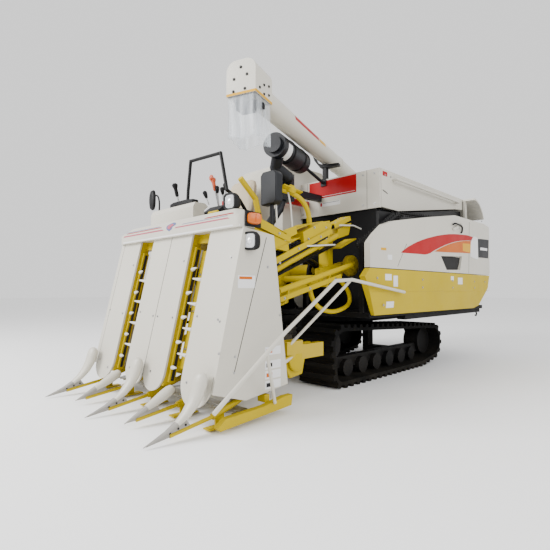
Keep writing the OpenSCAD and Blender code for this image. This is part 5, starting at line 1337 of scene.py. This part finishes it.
cushion = puffed("seat_cushion", (seat_low[0] + 0.012, seat_low[1] + 0.012, seat_low[2] + 0.004),
                 (seat_high[0] - 0.012, seat_low[1] + 0.400, seat_low[2] + 0.090), 0.0, 0.010)
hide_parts("seat")
rest = puffed("seat_back", (seat_low[0] + 0.020, seat_low[1] + 0.350, seat_low[2] + 0.080),
              (seat_high[0] - 0.020, seat_low[1] + 0.415, seat_high[2] - 0.012), 0.070, 0.010)
piping, piping_points = Maker(), 48
ring = []
for k in range(piping_points):
    a = 2 * math.pi * k / piping_points
    c, s = math.cos(a), math.sin(a)
    r = (abs(c) ** 5 + abs(s) ** 5) ** (-1 / 5)
    ring.append(((seat_low[0] + seat_high[0]) / 2 + 0.196 * r * c, seat_low[1] + 0.206 + 0.182 * r * s,
                 seat_low[2] + 0.083))
piping.tube(ring, 0.004, 6, True)
piping.make("seat_piping", "moulded plastic", "machine", slot="seat_vinyl")

# %% [markdown]
# ## Operator station
# Levers are thin steel rods with moulded grips, turned round their own axis. The mirror is an
# oval shell on a bent arm, with its glass towards the seat.

# %% Levers, grips, mirror and gauges
rods, grips, warm = Maker(), Maker(), Maker()
cab_front = -1.31


def grip(maker, foot, top, size=1.0):
    axis = (Vector(top) - Vector(foot)).normalized()
    maker.turned([(0.006, -0.030), (0.012, -0.024), (0.017, 0.0), (0.020, 0.016), (0.017, 0.030),
                  (0.008, 0.037)]
                 if size == 1.0 else [(0.010, -0.05), (0.016, -0.04), (0.016, 0.02), (0.024, 0.04),
                                      (0.026, 0.055), (0.014, 0.068)],
                 top, axis, 20)


for foot, top in (((-0.290, cab_front + 0.330, 1.500), (-0.280, cab_front + 0.300, 1.655)),
                  ((-0.240, cab_front + 0.380, 1.500), (-0.230, cab_front + 0.350, 1.680)),
                  ((-0.180, cab_front + 0.300, 1.500), (-0.170, cab_front + 0.270, 1.620)),
                  ((-0.225, cab_front + 0.170, 1.500), (-0.245, cab_front + 0.150, 1.580))):
    rods.tube([foot, top], 0.006, 10)
    grip(grips, foot, top)
rods.tube(smooth_path([(-0.52, cab_front + 0.075, 1.500), (-0.52, cab_front + 0.055, 1.570),
                       (-0.52, cab_front + 0.038, 1.620)], 4), 0.009, 10)
grip(grips, (-0.52, cab_front + 0.055, 1.570), (-0.52, cab_front + 0.036, 1.640), 2.0)
grip(warm, (-0.30, -0.98, 1.50), (-0.312, -1.02, 1.700), 2.0)
rods.tube([(-0.296, -0.975, 1.500), (-0.311, -1.016, 1.680)], 0.008, 10)
warm.turned([(0.020, 0), (0.026, 0.006), (0.026, 0.020), (0.018, 0.026)], (-0.315, -1.035, 1.762),
            (-0.3, -1, 0.1), 18)
lever_rods = rods.make("lever_rods", "machined steel", "machine")
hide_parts("levers")
grips.make("lever_grips", "moulded plastic", "machine", slot="dark_plastic")
warm.make("lever_red_grip", "orange plastic", "machine")
shell, pane = Maker(), Maker()
centre, look_back = (-0.935, -1.268, 1.622), (0.1, 1, 0)
mirror_half = (0.052, 0.096)
rings_of(shell, [rounded_square(centre, look_back, *mirror_half, s, f, 32, 2.6) for s, f in
                 ((-0.020, 0.30), (-0.018, 0.62), (-0.010, 0.90), (0.004, 1.0), (0.012, 0.98),
                  (0.012, 0.90))])
shell.tube(smooth_path([(-0.84, -1.25, 1.500), (-0.84, -1.25, 1.590), (-0.855, -1.255, 1.645),
                        (-0.885, -1.262, 1.660),
                        (-0.925, -1.268, 1.640)], 6), 0.008, 12)
mirror_shell = shell.make("mirror_shell", "moulded plastic", "machine")
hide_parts("mirror")
rings_of(pane,
         [rounded_square(centre, look_back, *mirror_half, s, f, 32, 2.6) for s,
          f in ((0.0122, 0.90), (0.0134, 0.885))])
pane.make("mirror_pane", "mirror glass", "machine")
console_low, console_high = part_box("front_console")
gauges = Maker()
gauges.prism([(-0.66, console_low[1] + 0.06, console_high[2] + 0.001),
              (-0.56, console_low[1] + 0.03, console_high[2] + 0.001),
              (-0.38, console_low[1] + 0.03, console_high[2] + 0.001),
              (-0.30, console_low[1] + 0.06, console_high[2] + 0.001),
              (-0.30, console_low[1] + 0.12, console_high[2] + 0.001),
              (-0.66, console_low[1] + 0.12, console_high[2] + 0.001)],
             (0, 0, 0.045))
gauges.make("gauge_hood", "moulded plastic", "machine", 0.010)
tags = Maker()
tags.box((-0.205, -1.02, 1.5005), (-0.165, -0.97, 1.545))
tags.make("fuse_cover", "red enamel", "machine", 0.004)

# %% [markdown]
# ## Feed chain
# The chain that holds the straw runs between the hood and the door. Its links and teeth repeat
# at one pitch along a bent line, so the planting trees place them.

# %% Chain links and teeth
tooth = planting_tree("chain tooth", [
    ("GeometryNodeMeshCone",
     {"Vertices": 4, "Radius Bottom": ("Root", 0.015), "Radius Top": ("Tip", 0.003),
      "Depth": ("Height", 0.030)}, 0.0),
])
pivot_line = -0.36
chain_path = [Vector((0.775, pivot_line + y, z)) for y,
              z in ((0.010, 1.080), (0.610, 1.400), (1.980, 1.470), (2.18, 1.463))]


def along(path, pitch):
    out, carry = [], pitch / 2
    for a, b in zip(path, path[1:]):
        reach_, t = (b - a).length, (b - a).normalized()
        while carry < reach_:
            out.append((a + t * carry, t))
            carry += pitch
        carry -= reach_
    return out


steps = along(chain_path, 0.038)
up_of = lambda t: Vector((0, -t.z, t.y))
plant("feed_chain_links", link, [(p + up_of(t) * 0.052, (1, 0, 0)) for p, t in steps], "black enamel",
      "machine",
      {"Roller radius": 0.012, "Roller width": 0.070, "Pin length": 0.096})
plant("feed_chain_teeth", tooth,
      [(p + up_of(t) * 0.072 + Vector((x, 0, 0)), up_of(t) + t * 0.35) for p,
       t in steps for x in (-0.028, 0.028)],
      "black enamel", "machine")
plant("feed_chain_lower_links", link, [(p - up_of(t) * 0.050, (1, 0, 0)) for p, t in steps], "black enamel",
      "machine",
      {"Roller radius": 0.010, "Roller width": 0.070, "Pin length": 0.096})
plates = Maker()
for a, b in zip(chain_path, chain_path[1:3]):
    t = (b - a).normalized()
    strap(plates, a + t * 0.03 + Vector((0.052, 0, 0)), b - t * 0.03 + Vector((0.052, 0, 0)),
          up_of(t) * 0.020, 0.004)
plates.make("feed_chain_side_plates", "frame enamel", "machine")

# %% [markdown]
# ## Right side and back
# The right side is the engine room with its screen, and the back is the straw chopper. Thin
# prisms just proud of the CAD faces give the screen its slats and the tank its ribs. The door at
# the back gets dark strips of painted shade for its vents, and a pull, and bolts hold the sheets.

# %% Screen slats, tank ribs, painted vent shade and bolts
screen_low, screen_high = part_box("radiator_door")
slats = Maker()
slat_count, slat_edge = 15, 0.045
for k in range(slat_count):
    z = screen_low[2] + slat_edge + (screen_high[2] - screen_low[2] - 2 * slat_edge) * k / (slat_count - 1)
    y0, y1 = screen_low[1] + 0.04, screen_high[1] - 0.05
    slats.prism([(screen_low[0] - 0.0002, y0, z - 0.008), (screen_low[0] - 0.0055, y0, z - 0.004),
                 (screen_low[0] - 0.0002, y0, z + 0.008)],
                (0, y1 - y0, 0))
slats.make("screen_slats", "frame enamel", "screen_door")
tank_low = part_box("grain_tank")[0]
ribs = Maker()
for y in (0.10, 0.55, 1.00):
    ribs.prism([(tank_low[0] - 0.0002, y - 0.016, 0.90), (tank_low[0] - 0.006, y - 0.008, 0.90),
                (tank_low[0] - 0.006, y + 0.008, 0.90),
                (tank_low[0] - 0.0002, y + 0.016, 0.90)], (0, 0, 0.82))
ribs.make("tank_ribs", "cream enamel", "machine", 0.001)
plant("tank_bolts", bolt,
      [((tank_low[0], y, z), (-1, 0, 0)) for y in (-0.24, 0.32, 0.78, 1.34) for z in (0.86, 1.25, 1.66)],
      "machined steel", "machine")
door_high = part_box("chopper_door")[1]
back_trim, back_dark = Maker(), Maker()
# The vents are thin near-black strips: painted shade for the openings.
for k in range(9):
    z = 1.02 + 0.030 * k
    back_dark.box((0.02, door_high[1] - 0.0012, z), (0.42, door_high[1] - 0.0002, z + 0.010))
back_dark.make("chopper_door_vent_painted_shade", "shadow gap", "rear_door")
back_trim.tube(smooth_path([(0.60, door_high[1] - 0.002, 1.10), (0.60, door_high[1] - 0.001, 1.14),
                            (0.60, door_high[1] - 0.001, 1.22),
                            (0.60, door_high[1] - 0.002, 1.26)], 4), 0.0015, 8)
back_trim.make("chopper_door_pull", "black enamel", "rear_door")
plant("chopper_door_bolts", bolt,
      [((x, door_high[1] - 0.0085, z), (0, 1, 0)) for x in (-0.55, 0.08, 0.72) for z in (0.83, 1.42)],
      "machined steel", "rear_door", {"Head depth": 0.006})
straw_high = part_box("straw_hood")[1]
plant("straw_hood_bolts", bolt,
      [((straw_high[0], 1.93, 1.60), (1, 0, 0)), ((straw_high[0], 2.06, 1.60), (1, 0, 0))],
      "machined steel", "machine")

# %% [markdown]
# ## Extinguisher and air cleaner
# Both are round, so a wrap or a band is a turned ring a little wider than the CAD shape under it.

# %% Wrap, label and bands
bottle_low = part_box("extinguisher")[0]
wrap = Maker()
wrap.turned([(0.0425, 0), (0.0432, 0.001), (0.0432, 0.089), (0.0425, 0.09)],
            (-0.06, -0.44, bottle_low[2] + 0.09), (0, 0, 1), 32)
wrap.make("extinguisher_wrap", "white sticker", "machine", slot="red_paint")
tube_strip("air_cleaner_label", "white sticker", 2.47, 2.55, -75, 10, -0.122, -0.152, 0.100, "machine")
bands = Maker()
for s in (2.16, 2.40):
    bands.turned([(0.1005, 0), (0.1045, 0.002), (0.1045, 0.020), (0.1005, 0.022)],
                 on_tube(s, -0.122, -0.152), aim, 40)
bands.make("air_cleaner_bands", "frame enamel", "machine")

# %% [markdown]
# ## Knife drive
# The cutter bar is driven from a small case low behind the side panel. Two prisms give the case,
# a turned cap its cover, and six bolts stand on a circle around the cap.

# %% Knife drive case and its bolts
low_case = Maker()
low_case.prism([(0.640, -1.180, 0.430), (0.640, -1.020, 0.430), (0.640, -0.985, 0.330),
                (0.640, -1.020, 0.190), (0.640, -1.150, 0.175),
                (0.640, -1.215, 0.290)], (0.070, 0, 0))
low_case.turned([(0.060, 0), (0.075, 0.004), (0.080, 0.010), (0.078, 0.024), (0.050, 0.030),
                 (0.020, 0.034)], (0.709, -1.100, 0.300),
                (1, 0, 0), 28)
low_case.prism([(0.655, -1.100, 0.400), (0.655, -0.905, 0.405), (0.655, -0.900, 0.330),
                (0.655, -1.020, 0.320)], (0.040, 0, 0))
low_case.make("knife_drive_case", "yellow enamel", "header", 0.006)
plant("knife_drive_bolts", bolt,
      [((0.712, -1.100 + 0.064 * math.cos(a), 0.300 + 0.064 * math.sin(a)), (1, 0, 0))
                                  for a in (math.pi * k / 3 for k in range(6))], "machined steel", "header")
